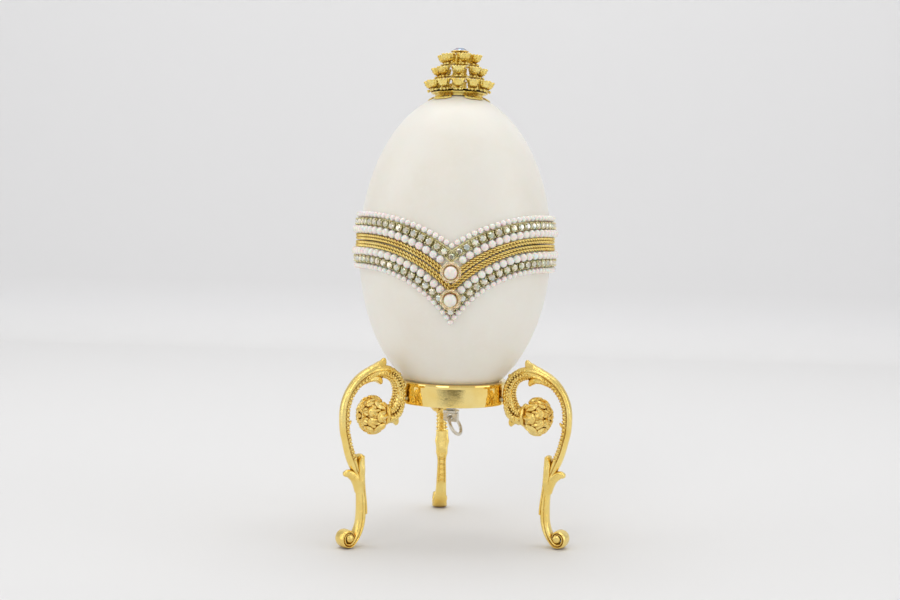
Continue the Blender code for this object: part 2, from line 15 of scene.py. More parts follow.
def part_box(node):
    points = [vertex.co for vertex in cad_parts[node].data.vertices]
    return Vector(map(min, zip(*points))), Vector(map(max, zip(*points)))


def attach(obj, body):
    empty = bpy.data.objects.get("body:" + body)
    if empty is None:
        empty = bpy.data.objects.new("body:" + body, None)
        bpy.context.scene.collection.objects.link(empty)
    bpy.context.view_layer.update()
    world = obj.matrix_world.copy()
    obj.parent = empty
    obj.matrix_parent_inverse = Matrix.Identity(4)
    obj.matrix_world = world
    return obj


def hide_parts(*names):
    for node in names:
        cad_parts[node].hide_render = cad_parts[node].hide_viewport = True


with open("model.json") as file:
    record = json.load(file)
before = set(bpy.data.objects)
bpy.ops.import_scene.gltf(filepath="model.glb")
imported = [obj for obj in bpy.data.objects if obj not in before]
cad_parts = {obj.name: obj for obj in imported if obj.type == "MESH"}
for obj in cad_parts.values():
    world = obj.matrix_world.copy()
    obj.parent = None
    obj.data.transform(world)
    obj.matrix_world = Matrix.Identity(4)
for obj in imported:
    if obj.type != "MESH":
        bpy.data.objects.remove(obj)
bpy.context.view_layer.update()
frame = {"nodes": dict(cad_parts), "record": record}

MM = 0.001
low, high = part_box("crown_base")
AXIS = np.array([(low[0] + high[0]) / 2.0, (low[1] + high[1]) / 2.0, 0.0])

EGG_R = 29.4
EGG_HALF = 47.0
EGG_MID_Z = 88.9
EGG_TAPER = 0.012
SHELL = 1.2
HALF_GAP = 0.16
SEAM_Z = 90.7
VEE_DEPTH = 11.75
VEE_HALF = math.radians(68.0)
VEE_POWER = 3.0
HINGE_SIDE = math.radians(161.0)
RING_R = 17.0
RING_TOP = 48.3
RING_LOW = 41.5
SEAT_LOW = 45.6
PLATFORM_Z = 72.4
STAND_TURN = 6.9
LEGS = (("left", -60.0), ("right", 60.0), ("rear", 180.0))
KEY_TURN = -24.0
KEY_SWING = 29.0
KEY_EYE_Z = 36.6
KEY_LOOP_R = 3.0

# trims: distance from the cut, and spacing along it
ROPE_PITCH = 2.3
PEARL_OFFSET, PEARL_PITCH = 3.2, 2.42
CHAIN_OFFSET, CHAIN_PITCH = 5.45, 2.55
SEED_OFFSET, SEED_PITCH = 7.6, 1.86
HALVES = (("lower", -1, "base"), ("upper", 1, "lid"))


# ---------- egg geometry
def egg_r(z):
    """Radius of the shell's outside at a height."""
    t = (np.asarray(z, float) - EGG_MID_Z) / EGG_HALF
    return EGG_R * np.sqrt(np.maximum(0.0, 1.0 - t * t)) * (1.0 - EGG_TAPER * t)


def egg_normal(phi, z):
    """Outward direction of the shell; phi is the angle round the axis from the V."""
    slope = (egg_r(z + 0.05) - egg_r(z - 0.05)) / 0.1
    out = np.stack([np.sin(phi), -np.cos(phi), -slope + 0.0 * phi], axis=-1)
    return out / np.linalg.norm(out, axis=-1, keepdims=True)


def on_egg(phi, z, height):
    """Points a height above the shell's outside."""
    r = egg_r(z)
    base = np.stack([r * np.sin(phi), -r * np.cos(phi), z + 0.0 * phi], axis=-1)
    return base + egg_normal(phi, z) * np.asarray(height, float)[..., None]


def vee_share(phi):
    """1 at the point of the V and 0 where the cut runs level."""
    return np.maximum(0.0, 1.0 - np.abs(phi) / VEE_HALF)


def seam_z(phi):
    """Height of the cut between the halves."""
    return SEAM_Z - VEE_DEPTH * vee_share(phi) ** VEE_POWER


def trim_z(phi, side, offset):
    """Height of a line an even offset from the cut, above it (side 1) or below it (side -1)."""
    slope = VEE_POWER * VEE_DEPTH * vee_share(phi) ** (VEE_POWER - 1.0) / (VEE_HALF * EGG_R)
    return seam_z(phi) + side * offset * np.sqrt(1.0 + slope * slope)


def crown_end_z(r):
    """Height of the shell's crown end at a distance from the axis."""
    return EGG_MID_Z + EGG_HALF * np.sqrt(1.0 - (r / (EGG_R * (1.0 - EGG_TAPER))) ** 2)


def around(cols):
    """Even angles round the axis from the V, none past half a turn."""
    phi = np.arange(cols) * 2.0 * np.pi / cols
    return np.where(phi > np.pi, phi - 2.0 * np.pi, phi)


def stood_on_egg(phi, z, height):
    """A 4x4 array that stands a part on the shell with its +Z outwards."""
    phi, z = np.array(phi), np.array(z)
    frame_at = np.array(Vector(egg_normal(phi, z)).to_track_quat('Z', 'Y').to_matrix().to_4x4())
    frame_at[:3, 3] = on_egg(phi, z, height)
    return frame_at


# ---------- mesh building
def unit(v):
    """Vectors at length 1."""
    return v / np.maximum(np.linalg.norm(v, axis=-1, keepdims=True), 1e-12)


def travelled(pts):
    """Distance along a line of points, from its start to each point."""
    steps = np.linalg.norm(np.diff(pts, axis=0), axis=1)
    return np.concatenate([[0.0], np.cumsum(steps)])


def sampled(want, far, values):
    """Rows of values read at the wanted distances along a line."""
    return np.stack([np.interp(want, far, column) for column in values.T], axis=1)


def grid_faces(rows, cols, wrap=False):
    """Quads over a rows x cols grid of points; wrap joins the last column to the first."""
    out = []
    for i in range(rows - 1):
        for j in range(cols if wrap else cols - 1):
            k = (j + 1) % cols
            out.append((i * cols + j, i * cols + k, (i + 1) * cols + k, (i + 1) * cols + j))
    return out


def looped_faces(rows, cols):
    """Quads of a grid that closes on itself both ways."""
    last = (rows - 1) * cols
    return grid_faces(rows, cols, True) + [(last + j, last + (j + 1) % cols, (j + 1) % cols, j)
                                           for j in range(cols)]


def merged(parts):
    """Several (points, faces) in one."""
    points = []
    faces = []
    count = 0
    for pts, fcs in parts:
        points.append(np.asarray(pts, float).reshape(-1, 3))
        faces.extend([tuple(i + count for i in f) for f in fcs])
        count += len(points[-1])
    return np.concatenate(points), faces


def moved(part, matrix):
    """A (points, faces) carried by a 4x4 array."""
    pts, fcs = part
    return pts @ matrix[:3, :3].T + matrix[:3, 3], fcs


def repeated(part, origins, xs, ys, zs, sizes=None):
    """Copies of a part at many frames."""
    pts, fcs = part
    sizes = np.ones(len(origins)) if sizes is None else sizes
    basis = np.stack([xs, ys, zs], axis=1) * sizes[:, None, None]
    every = np.einsum("pk,nkc->npc", pts, basis) + origins[:, None, :]
    faces = []
    for n in range(len(origins)):
        faces.extend([tuple(i + n * len(pts) for i in f) for f in fcs])
    return every.reshape(-1, 3), faces


def turned(profile, steps, lobes=0, depth=0.0):
    """A profile of (radius, height) turned round Z; lobes scallop it by depth at its widest."""
    pts = []
    widest = max(r for r, z in profile)
    angles = np.arange(steps) * 2.0 * np.pi / steps
    for r, z in profile:
        swell = 1.0 + depth * (r / widest) ** 2 * np.cos(angles * lobes) if lobes else 1.0
        pts.append(np.stack([r * swell * np.cos(angles), r * swell * np.sin(angles),
                             np.full(steps, z)], axis=1))
    return np.concatenate(pts), grid_faces(len(profile), steps, True)


def raised(profile, height):
    """A profile moved up."""
    return [(r, height + z) for r, z in profile]


def ball(radius, across=16, down=10):
    """A round bead."""
    line = [(max(radius * math.sin(math.pi * i / down), 1e-4),
             radius * math.cos(math.pi * i / down)) for i in range(down + 1)]
    return turned(line, across)


def grain_ring(count, radius, height, size, phase=0.0, across=8, down=6):
    """Grains spread round a circle; phase turns them by a share of their spacing."""
    points, faces = ball(size, across, down)
    parts = []
    for k in range(count):
        turn = 2.0 * math.pi * (k + phase) / count
        parts.append((points + np.array([radius * math.cos(turn), radius * math.sin(turn),
                                         height]), faces))
    return parts


def catmull(around_it, t):
    """Points between the middle two of four knots, t of the way from the second."""
    p0, p1, p2, p3 = around_it
    return 0.5 * (2.0 * p1 + (p2 - p0) * t + (2.0 * p0 - 5.0 * p1 + 4.0 * p2 - p3) * t ** 2
                  + (3.0 * p1 - p0 - 3.0 * p2 + p3) * t ** 3)


def with_ends(knots):
    """Knots as an array, and again with each end knot doubled."""
    knots = np.asarray(knots, float)
    return knots, np.concatenate([knots[:1], knots, knots[-1:]])


def smooth_line(knots, count):
    """Points on a smooth line through knots, evenly spread by their first two numbers."""
    knots, padded = with_ends(knots)
    t = np.linspace(0.0, 1.0, 16, endpoint=False)[:, None]
    fine = np.concatenate([catmull(padded[i:i + 4], t) for i in range(len(knots) - 1)]
                          + [knots[-1:]])
    far = travelled(fine[:, :2])
    return sampled(np.linspace(0.0, far[-1], count), far, fine)


def smooth_wire(knots, count):
    """Points on a smooth line through knots, the same number for each stretch."""
    knots, padded = with_ends(knots)
    out = []
    for value in np.linspace(0.0, len(knots) - 1.0, count):
        i = min(int(value), len(knots) - 2)
        out.append(catmull(padded[i:i + 4], value - i))
    return np.array(out)


def capped(pts, rows, cols):
    """Faces of a swept tube with both ends closed."""
    faces = grid_faces(rows, cols, True)
    faces.append(tuple(range(cols))[::-1])
    faces.append(tuple((rows - 1) * cols + j for j in range(cols)))
    return pts, faces


def tube(line, radius, sides=8, closed=False):
    """A round tube along 3-D points; radius is one number or one for each point."""
    line = np.asarray(line, float)
    n = len(line)
    if closed:
        along = unit(np.roll(line, -1, axis=0) - np.roll(line, 1, axis=0))
    else:
        along = unit(np.gradient(line, axis=0))
    side = np.zeros_like(line)
    guess = np.array([0.0, 0.0, 1.0]) if abs(along[0][2]) < 0.9 else np.array([1.0, 0.0, 0.0])
    for i in range(n):
        guess = guess - along[i] * guess.dot(along[i])
        guess = guess / np.linalg.norm(guess)
        side[i] = guess
    other = np.cross(along, side)
    radius = np.broadcast_to(np.asarray(radius, float), (n,))
    turn = np.arange(sides) * 2.0 * np.pi / sides
    pts = (line[:, None, :] + radius[:, None, None]
           * (np.cos(turn)[None, :, None] * side[:, None, :]
              + np.sin(turn)[None, :, None] * other[:, None, :])).reshape(-1, 3)
    return (pts, looped_faces(n, sides)) if closed else capped(pts, n, sides)


def put(name, part, mat, body, nodes=(), sharp=35.0, flat=False):
    """Make an object from millimetre geometry, ride it on a body and stand it for CAD nodes."""
    pts, faces = part
    mesh = bpy.data.meshes.new(name)
    mesh.from_pydata((np.asarray(pts) * MM + AXIS).tolist(), [], faces)
    bm = bmesh.new()
    bm.from_mesh(mesh)
    bmesh.ops.remove_doubles(bm, verts=bm.verts, dist=1e-7)
    bmesh.ops.recalc_face_normals(bm, faces=bm.faces)
    bm.to_mesh(mesh)
    bm.free()
    mesh.materials.append(mat)
    if flat:
        mesh.shade_flat()
    else:
        mesh.shade_smooth()
        mesh.set_sharp_from_angle(angle=math.radians(sharp))
    obj = bpy.data.objects.new(name, mesh)
    bpy.context.scene.collection.objects.link(obj)
    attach(obj, body)
    if nodes:
        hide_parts(*nodes)
    return obj


# ---------- materials
class Nodes:
    """Small helper to wire one material's nodes."""

    def __init__(self, name):
        self.mat = bpy.data.materials.new(name)
        self.mat.use_nodes = True
        self.tree = self.mat.node_tree
        self.shader = self.tree.nodes["Principled BSDF"]
        self.coords = self.tree.nodes.new("ShaderNodeTexCoord").outputs["Object"]

    def add(self, kind, **values):
        node = self.tree.nodes.new(kind)
        for key, value in values.items():
            setattr(node, key, value)
        return node

    def link(self, a, b):
        self.tree.links.new(a, b)

    def noise(self, scale, detail=3.0, rough=0.5, distort=0.0):
        node = self.add("ShaderNodeTexNoise")
        self.link(self.coords, node.inputs["Vector"])
        node.inputs["Scale"].default_value = scale
        node.inputs["Detail"].default_value = detail
        node.inputs["Roughness"].default_value = rough
        node.inputs["Distortion"].default_value = distort
        return node.outputs["Fac"]

    def cells(self, scale):
        node = self.add("ShaderNodeTexVoronoi")
        self.link(self.coords, node.inputs["Vector"])
        node.inputs["Scale"].default_value = scale
        return node.outputs["Distance"]

    def ramp(self, source, stops):
        node = self.add("ShaderNodeValToRGB")
        self.link(source, node.inputs["Fac"])
        node.color_ramp.elements[0].position = stops[0][0]
        node.color_ramp.elements[0].color = stops[0][1] + (1.0,)
        node.color_ramp.elements[1].position = stops[-1][0]
        node.color_ramp.elements[1].color = stops[-1][1] + (1.0,)
        for place, colour in stops[1:-1]:
            node.color_ramp.elements.new(place).color = colour + (1.0,)
        return node.outputs["Color"]

    def span(self, source, low_in, high_in, low_out, high_out):
        node = self.add("ShaderNodeMapRange")
        self.link(source, node.inputs["Value"])
        for key, value in zip(("From Min", "From Max", "To Min", "To Max"),
                              (low_in, high_in, low_out, high_out)):
            node.inputs[key].default_value = value
        return node.outputs["Result"]

    def mix(self, factor, a, b, mode='MIX'):
        node = self.add("ShaderNodeMix", data_type='RGBA', blend_type=mode)
        for index, value in ((0, factor), (6, a), (7, b)):
            if isinstance(value, tuple):
                node.inputs[index].default_value = value + (1.0,)
            elif isinstance(value, float):
                node.inputs[index].default_value = value
            else:
                self.link(value, node.inputs[index])
        return node.outputs[2]

    def maths(self, kind, a, b):
        node = self.add("ShaderNodeMath", operation=kind)
        for index, value in ((0, a), (1, b)):
            if isinstance(value, float):
                node.inputs[index].default_value = value
            else:
                self.link(value, node.inputs[index])
        return node.outputs[0]

    def bump(self, height, distance, strength=1.0):
        node = self.add("ShaderNodeBump")
        node.inputs["Strength"].default_value = strength
        node.inputs["Distance"].default_value = distance
        self.link(height, node.inputs["Height"])
        self.link(node.outputs["Normal"], self.shader.inputs["Normal"])

    def edges(self):
        """0 in crevices and 1 on edges, read from the mesh's own curvature; gold() paints shade
        into the crevices with it.
        """
        geometry = self.add("ShaderNodeNewGeometry")
        return self.span(geometry.outputs["Pointiness"], 0.44, 0.52, 0.0, 1.0)

    def crevices(self, reach):
        """1 in tight corners and 0 in the open, within a reach in metres; gold() paints shade into
        the corners with it.
        """
        node = self.add("ShaderNodeAmbientOcclusion", samples=8)
        node.inputs["Distance"].default_value = reach
        return self.span(node.outputs["AO"], 0.25, 0.85, 1.0, 0.0)

    def set(self, **values):
        for key, value in values.items():
            self.shader.inputs[key.replace("_", " ")].default_value = value
        return self.mat


def gold(name, bright, deep, rough, grain, relief, dark=(0.30, 0.15, 0.03), cast=0.0, reach=0.0):
    """Gold plate with painted shade, the dark colour, in hollows and within reach of corners, with
    grain and uneven polish.
    """
    m = Nodes(name)
    cloudy = m.noise(160.0, 4.0)
    fine = m.noise(grain, 5.0, 0.6)
    tone = m.mix(m.span(cloudy, 0.3, 0.7, 0.0, 1.0), deep, bright)
    # painted shade: hollows of the mesh take the dark colour
    tone = m.mix(m.span(m.edges(), 0.0, 0.6, 0.75, 0.0), tone, dark)
    # painted shade: corners within reach take the dark colour
    if reach:
        tone = m.mix(m.maths('MULTIPLY', m.crevices(reach), 0.9), tone, dark)
    m.link(tone, m.shader.inputs["Base Color"])
    patchy = m.maths('ADD', m.span(fine, 0.3, 0.7, -0.04, 0.05),
                     m.span(cloudy, 0.3, 0.7, 0.0, 0.06))
    m.link(m.maths('ADD', patchy, rough), m.shader.inputs["Roughness"])
    skin = m.maths('ADD', fine, m.maths('MULTIPLY', m.noise(430.0, 3.0, 0.6, 0.3), cast))
    m.bump(skin, relief)
    return m.set(Metallic=1.0)


def pearl(name, body, blush, rough=0.16):
    """Imitation pearl: a pale body clouded rosy and greenish, with a bloom towards the rim."""
    m = Nodes(name)
    veil = m.noise(420.0, 3.0)
    rim = m.add("ShaderNodeLayerWeight")
    rim.inputs["Blend"].default_value = 0.35
    tint = m.ramp(veil, [(0.28, (0.92, 0.79, 0.77)), (0.5, body), (0.72, (0.81, 0.87, 0.83))])
    m.link(tint, m.shader.inputs["Base Color"])
    m.link(m.span(rim.outputs["Facing"], 0.2, 1.0, 0.05, 0.45), m.shader.inputs["Sheen Weight"])
    m.shader.inputs["Sheen Tint"].default_value = blush + (1.0,)
    m.link(m.span(m.noise(1500.0, 2.0), 0.3, 0.7, rough, rough + 0.07),
           m.shader.inputs["Roughness"])
    m.bump(m.noise(2500.0, 2.0), 0.000008)
    return m.set(Coat_Weight=0.9, Coat_Roughness=0.06, Coat_IOR=1.7, Specular_IOR_Level=0.6,
                 Subsurface_Weight=0.5, Subsurface_Scale=0.0010)


def crystal(name, tones):
    """Foil-backed crystal with an aurora coat: colours drift from stone to stone."""
    m = Nodes(name)
    drift = m.noise(330.0, 1.0)
    coat = m.ramp(drift, list(zip((0.28, 0.42, 0.52, 0.62, 0.76), tones)))
    m.link(coat, m.shader.inputs["Base Color"])
    m.link(m.span(m.noise(1200.0, 2.0), 0.3, 0.7, 0.03, 0.10), m.shader.inputs["Roughness"])
    return m.set(Metallic=0.8, Coat_Weight=0.7, Coat_Roughness=0.02, Coat_IOR=1.5)


def eggshell():
    """Lacquered goose shell: warm cream with faint clouds, fine pores and a soft coat."""
    m = Nodes("pearl_eggshell")
    cloud = m.noise(45.0, 5.0, 0.6)
    spots = m.noise(700.0, 4.0, 0.6)
    tone = m.ramp(cloud, [(0.30, (0.835, 0.775, 0.675)), (0.52, (0.865, 0.815, 0.73)),
                          (0.72, (0.88, 0.84, 0.765))])
    tone = m.mix(m.span(spots, 0.55, 0.75, 0.0, 0.35), tone, (0.90, 0.85, 0.78))
    m.link(tone, m.shader.inputs["Base Color"])
    m.link(m.span(spots, 0.3, 0.7, 0.34, 0.46), m.shader.inputs["Roughness"])
    pores = m.span(m.cells(1300.0), 0.0, 0.35, 0.0, 1.0)
    m.bump(m.maths('ADD', pores, m.noise(260.0, 4.0)), 0.00001, 0.6)
    return m.set(Coat_Weight=0.16, Coat_Roughness=0.36, Sheen_Weight=0.2, Sheen_Roughness=0.4,
                 Subsurface_Weight=0.12, Subsurface_Scale=0.003)


def velvet():
    """Crimson pile: dark when seen straight on, with a pale bloom at grazing angles."""
    m = Nodes("velvet")
    nap = m.noise(140.0, 4.0, 0.6, 0.4)
    pile = m.noise(4200.0, 3.0, 0.7)
    tone = m.ramp(nap, [(0.3, (0.16, 0.004, 0.010)), (0.6, (0.30, 0.010, 0.020)),
                        (0.8, (0.42, 0.03, 0.04))])
    tone = m.mix(m.span(pile, 0.4, 0.7, 0.0, 0.4), tone, (0.10, 0.002, 0.006))
    m.link(tone, m.shader.inputs["Base Color"])
    m.link(m.span(pile, 0.3, 0.7, 0.8, 0.95), m.shader.inputs["Roughness"])
    m.bump(pile, 0.00015)
    mat = m.set(Sheen_Weight=1.0, Sheen_Roughness=0.35)
    m.shader.inputs["Sheen Tint"].default_value = (1.0, 0.55, 0.55, 1.0)
    return mat


def metal(name, tone_a, tone_b, rough, stretch):
    """Machined metal with fine drawn lines along one direction."""
    m = Nodes(name)
    mapping = m.add("ShaderNodeMapping")
    mapping.inputs["Scale"].default_value = stretch
    m.link(m.coords, mapping.inputs["Vector"])
    m.coords = mapping.outputs["Vector"]
    lines = m.noise(500.0, 4.0, 0.6)
    tone = m.mix(m.span(lines, 0.3, 0.7, 0.0, 1.0), tone_a, tone_b)
    m.link(tone, m.shader.inputs["Base Color"])
    m.link(m.span(lines, 0.3, 0.7, rough, rough + 0.12), m.shader.inputs["Roughness"])
    m.bump(lines, 0.00002)
    return m.set(Metallic=1.0)


def board():
    """Dark stained board with a fine grain."""
    m = Nodes("dark_board")
    wave = m.add("ShaderNodeTexWave")
    wave.inputs["Scale"].default_value = 220.0
    wave.inputs["Distortion"].default_value = 6.0
    m.link(m.coords, wave.inputs["Vector"])
    m.link(m.ramp(wave.outputs["Fac"], [(0.2, (0.05, 0.03, 0.02)), (0.8, (0.13, 0.08, 0.05))]),
           m.shader.inputs["Base Color"])
    m.link(m.span(wave.outputs["Fac"], 0.0, 1.0, 0.5, 0.7), m.shader.inputs["Roughness"])
    m.bump(wave.outputs["Fac"], 0.00005)
    return m.mat


# Where given, the colour after the relief is each gold's painted shade colour for hollows and
# corners, and the last number is how far that painted shade reaches from a corner, in metres.
GOLD = gold("polished_gold", (1.0, 0.81, 0.34), (0.95, 0.69, 0.21), 0.045, 500.0, 0.00001)
CAST = gold("cast_gold", (1.0, 0.81, 0.31), (0.92, 0.64, 0.155), 0.20, 1300.0, 0.00009,
            (0.42, 0.22, 0.03), 2.2, 0.0010)
FLOWER_GOLD = gold("flower_gold", (1.0, 0.79, 0.29), (0.90, 0.60, 0.14), 0.20, 1300.0, 0.00009,
                   (0.42, 0.20, 0.02), 2.2, 0.0010)
PALE_GOLD = gold("pale_gold", (1.0, 0.86, 0.62), (0.95, 0.76, 0.46), 0.18, 1500.0, 0.00003,
                 (0.50, 0.32, 0.12), 0.0, 0.0007)
CROWN_GOLD = gold("crown_gold", (1.0, 0.87, 0.34), (0.88, 0.62, 0.13), 0.16, 1500.0, 0.00005,
                  (0.36, 0.17, 0.02), 0.8, 0.0011)
ROPE = gold("braid_gold", (1.0, 0.81, 0.31), (0.84, 0.60, 0.16), 0.24, 1500.0, 0.00002,
            (0.36, 0.20, 0.03), 0.0, 0.0004)
CUP = gold("cup_gold", (0.92, 0.85, 0.55), (0.66, 0.60, 0.30), 0.22, 1200.0, 0.00002,
           (0.34, 0.29, 0.12), 0.0, 0.0007)
PEARL = pearl("strand_pearl", (0.89, 0.84, 0.765), (0.95, 0.86, 0.83))
BIG_PEARL = pearl("vee_pearl", (0.86, 0.82, 0.72), (0.92, 0.79, 0.72), 0.12)
CRYSTAL = crystal("aurora_crystal", ((0.60, 0.66, 0.62), (0.86, 0.84, 0.74), (0.84, 0.72, 0.56),
                                     (0.68, 0.76, 0.56), (0.76, 0.68, 0.74)))
TOP_CRYSTAL = crystal("top_crystal", ((0.18, 0.24, 0.38), (0.36, 0.37, 0.46), (0.50, 0.36, 0.44),
                                      (0.24, 0.38, 0.45), (0.29, 0.28, 0.43)))
EGG = eggshell()
VELVET = velvet()
DRAWN_X, DRAWN_Z = (30.0, 1.0, 1.0), (1.0, 1.0, 30.0)
NICKEL = metal("nickel", (0.64, 0.59, 0.49), (0.80, 0.75, 0.64), 0.20, DRAWN_Z)
STEEL = metal("steel", (0.42, 0.43, 0.45), (0.62, 0.63, 0.65), 0.28, DRAWN_Z)
BRASS = metal("movement_brass", (0.70, 0.50, 0.20), (0.85, 0.64, 0.30), 0.22, DRAWN_X)
BOARD = board()

SLOT_LOOKS = {"pearl_shell": EGG, "velvet": VELVET, "antique_gilt": ROPE, "pearl": PEARL,
              "gilt": GOLD, "crystal": CRYSTAL, "steel": STEEL, "nickel": NICKEL,
              "brass": BRASS, "dark_board": BOARD}
for entry in frame["record"]["subparts"]:
    node = frame["nodes"][entry["node"]]
    node.data.materials.clear()
    node.data.materials.append(SLOT_LOOKS[entry["material_slot"]])


# ---------- egg halves
def egg_half(side):
    """One half of the shell: outside, cut edge and inside, as one closed skin."""
    cols = 192
    rows = 60
    phi = around(cols)
    edge = np.arcsin((seam_z(phi) + side * HALF_GAP - EGG_MID_Z) / EGG_HALF)
    pole = side * math.asin(0.99995)
    loops = []
    share = np.linspace(0.0, 1.0, rows)
    for depth, order, inward in ((0.0, share[::-1], -1.0), (SHELL, share, 1.0)):
        for k in order:
            z = EGG_MID_Z + EGG_HALF * np.sin(edge * (1.0 - k) + pole * k)
            eased = 0.12 * max(0.0, 1.0 - k * rows)
            loops.append(on_egg(phi, z, -depth + inward * eased))
    return np.concatenate(loops), grid_faces(len(loops), cols, True)


put("egg_lower", egg_half(-1), EGG, "base", ["lower_shell"], 60.0)
put("egg_upper", egg_half(1), EGG, "lid", ["upper_shell"], 60.0)


def lining(side, end_z):
    """Velvet liner inside a half, from the cut to end_z: open below, closed in the lid."""
    cols = 160
    rows = 36
    phi = around(cols)
    edge = seam_z(phi) + side * 0.9
    share = np.linspace(0.0, 1.0, rows)
    loops = []
    for depth, order, rolled in ((SHELL + 0.35, share[::-1], 0.15), (SHELL + 1.1, share, -0.15)):
        for k in order:
            ripple = 0.05 * np.sin(phi * 23.0) * k
            loops.append(on_egg(phi, edge * (1.0 - k) + end_z * k,
                                -depth + rolled * math.exp(-k * 26.0) + ripple))
    pts = np.concatenate(loops)
    if side < 0:
        return pts, looped_faces(len(loops), cols)
    caps = [tuple(range(cols)), tuple(range(len(pts) - cols, len(pts)))]
    return pts, grid_faces(len(loops), cols, True) + caps


put("lining_lower", lining(-1, PLATFORM_Z - 0.4), VELVET, "base", ["lower_lining"], 60.0)
put("lining_upper", lining(1, 129.0), VELVET, "lid", ["upper_lining"], 60.0)

CUSHION = [(0.01, 1.25), (3.0, 1.3), (12.0, 1.38), (19.5, 1.3), (22.6, 0.95), (23.4, 0.7),
           (24.0, 0.85), (24.5, 0.4), (24.2, -0.9), (23.6, -1.15), (0.01, -1.15)]
pad = put("platform_pad", turned(raised(CUSHION, PLATFORM_Z), 96), VELVET, "base", ["platform"],
          50.0)


# ---------- trims along the cut
def trim_line(side, offset, height, start, end, count=2400):
    """Points along a trim, and the outward direction at each."""
    phi = np.linspace(start, end, count)
    z = trim_z(phi, side, offset)
    return on_egg(phi, z, height), egg_normal(phi, z)


def square_to(x, z):
    """Directions x made square to directions z."""
    return unit(x - z * np.sum(x * z, axis=1, keepdims=True))


def spaced(side, offset, height, start, end, pitch, centred=False):
    """Frames a pitch apart along a trim: origins, along, across and outward directions."""
    pts, out = trim_line(side, offset, height, start, end)
    far = travelled(pts)
    if centred:
        middle = far[len(far) // 2]
        n = int((middle - pitch * 0.5) / pitch)
        want = middle + np.arange(-n, n + 1) * pitch
    else:
        want = np.arange(pitch * 0.5, far[-1] - pitch * 0.4, pitch)
    z = unit(sampled(want, far, out))
    x = sampled(want + pitch * 0.5, far, pts) - sampled(want - pitch * 0.5, far, pts)
    x = square_to(x, z)
    return sampled(want, far, pts), x, np.cross(z, x), z


def rope(side, offset, height, radius):
    """Two twisted strands that follow a trim."""
    pts, out = trim_line(side, offset, height, -HINGE_SIDE, HINGE_SIDE, 1300)
    along = unit(np.gradient(pts, axis=0))
    across = np.cross(out, along)
    parts = []
    for start in (0.0, np.pi):
        turn = (2.0 * np.pi * travelled(pts) / ROPE_PITCH + start)[:, None]
        line = pts + (np.cos(turn) * across + np.sin(turn) * out) * radius * 0.56
        parts.append(tube(line, radius * 0.62, 7))
    return merged(parts)


def stone_cup():
    """A square cup with a prong at each corner, and a link to the next one."""
    pts, faces = turned([(0.5, 0.0), (0.86, 0.05), (0.98, 0.35), (1.04, 0.95), (0.92, 1.12),
                         (0.78, 1.0), (0.7, 0.5)], 24)
    angle = np.arctan2(pts[:, 1], pts[:, 0])
    square = 1.0 / np.maximum(np.abs(np.cos(angle)), np.abs(np.sin(angle)))
    pts[:, :2] *= (1.03 + (square - 1.0) * 0.98)[:, None]
    parts = [(pts, faces)]
    for k in range(4):
        turn = math.pi / 4.0 + k * math.pi / 2.0
        c, s = math.cos(turn), math.sin(turn)
        line = [(1.36 * c, 1.36 * s, 0.3), (1.40 * c, 1.40 * s, 0.9), (1.24 * c, 1.24 * s, 1.32),
                (0.90 * c, 0.90 * s, 1.44)]
        parts.append(tube(smooth_wire(line, 7), np.linspace(0.22, 0.15, 7), 6))
    parts.append(tube([(0.9, 0.0, 0.3), (1.3, 0.0, 0.2), (1.7, 0.0, 0.3)], 0.2, 6))
    return merged(parts)


def cut_stone(radius, table, crown, sides=8):
    """A faceted stone: table, two rows of crown facets, girdle and a short pavilion."""
    rows = [(0.001, crown), (table, crown), (radius * 0.82, crown * 0.5), (radius, 0.0),
            (radius * 0.97, -0.08), (radius * 0.4, -0.5), (0.001, -0.6)]
    pts, faces = turned(rows, sides)
    turn = math.pi / sides
    c, s = math.cos(turn), math.sin(turn)
    for row in (2, 4):
        ring = pts[row * sides:(row + 1) * sides]
        ring[:, 0], ring[:, 1] = ring[:, 0] * c - ring[:, 1] * s, ring[:, 0] * s + ring[:, 1] * c
    return pts, faces


def backing_strip(side, inner, outer, height):
    """A thin gilt strip under a row of settings, lying on the shell short of the hinge."""
    reach = HINGE_SIDE - 0.07
    count = 700
    rows = [trim_line(side, offset, lift, -reach, reach, count)[0] for offset, lift in
            ((inner, 0.02), (inner, height), (outer, height), (outer, 0.02))]
    return np.concatenate(rows), grid_faces(len(rows), count)


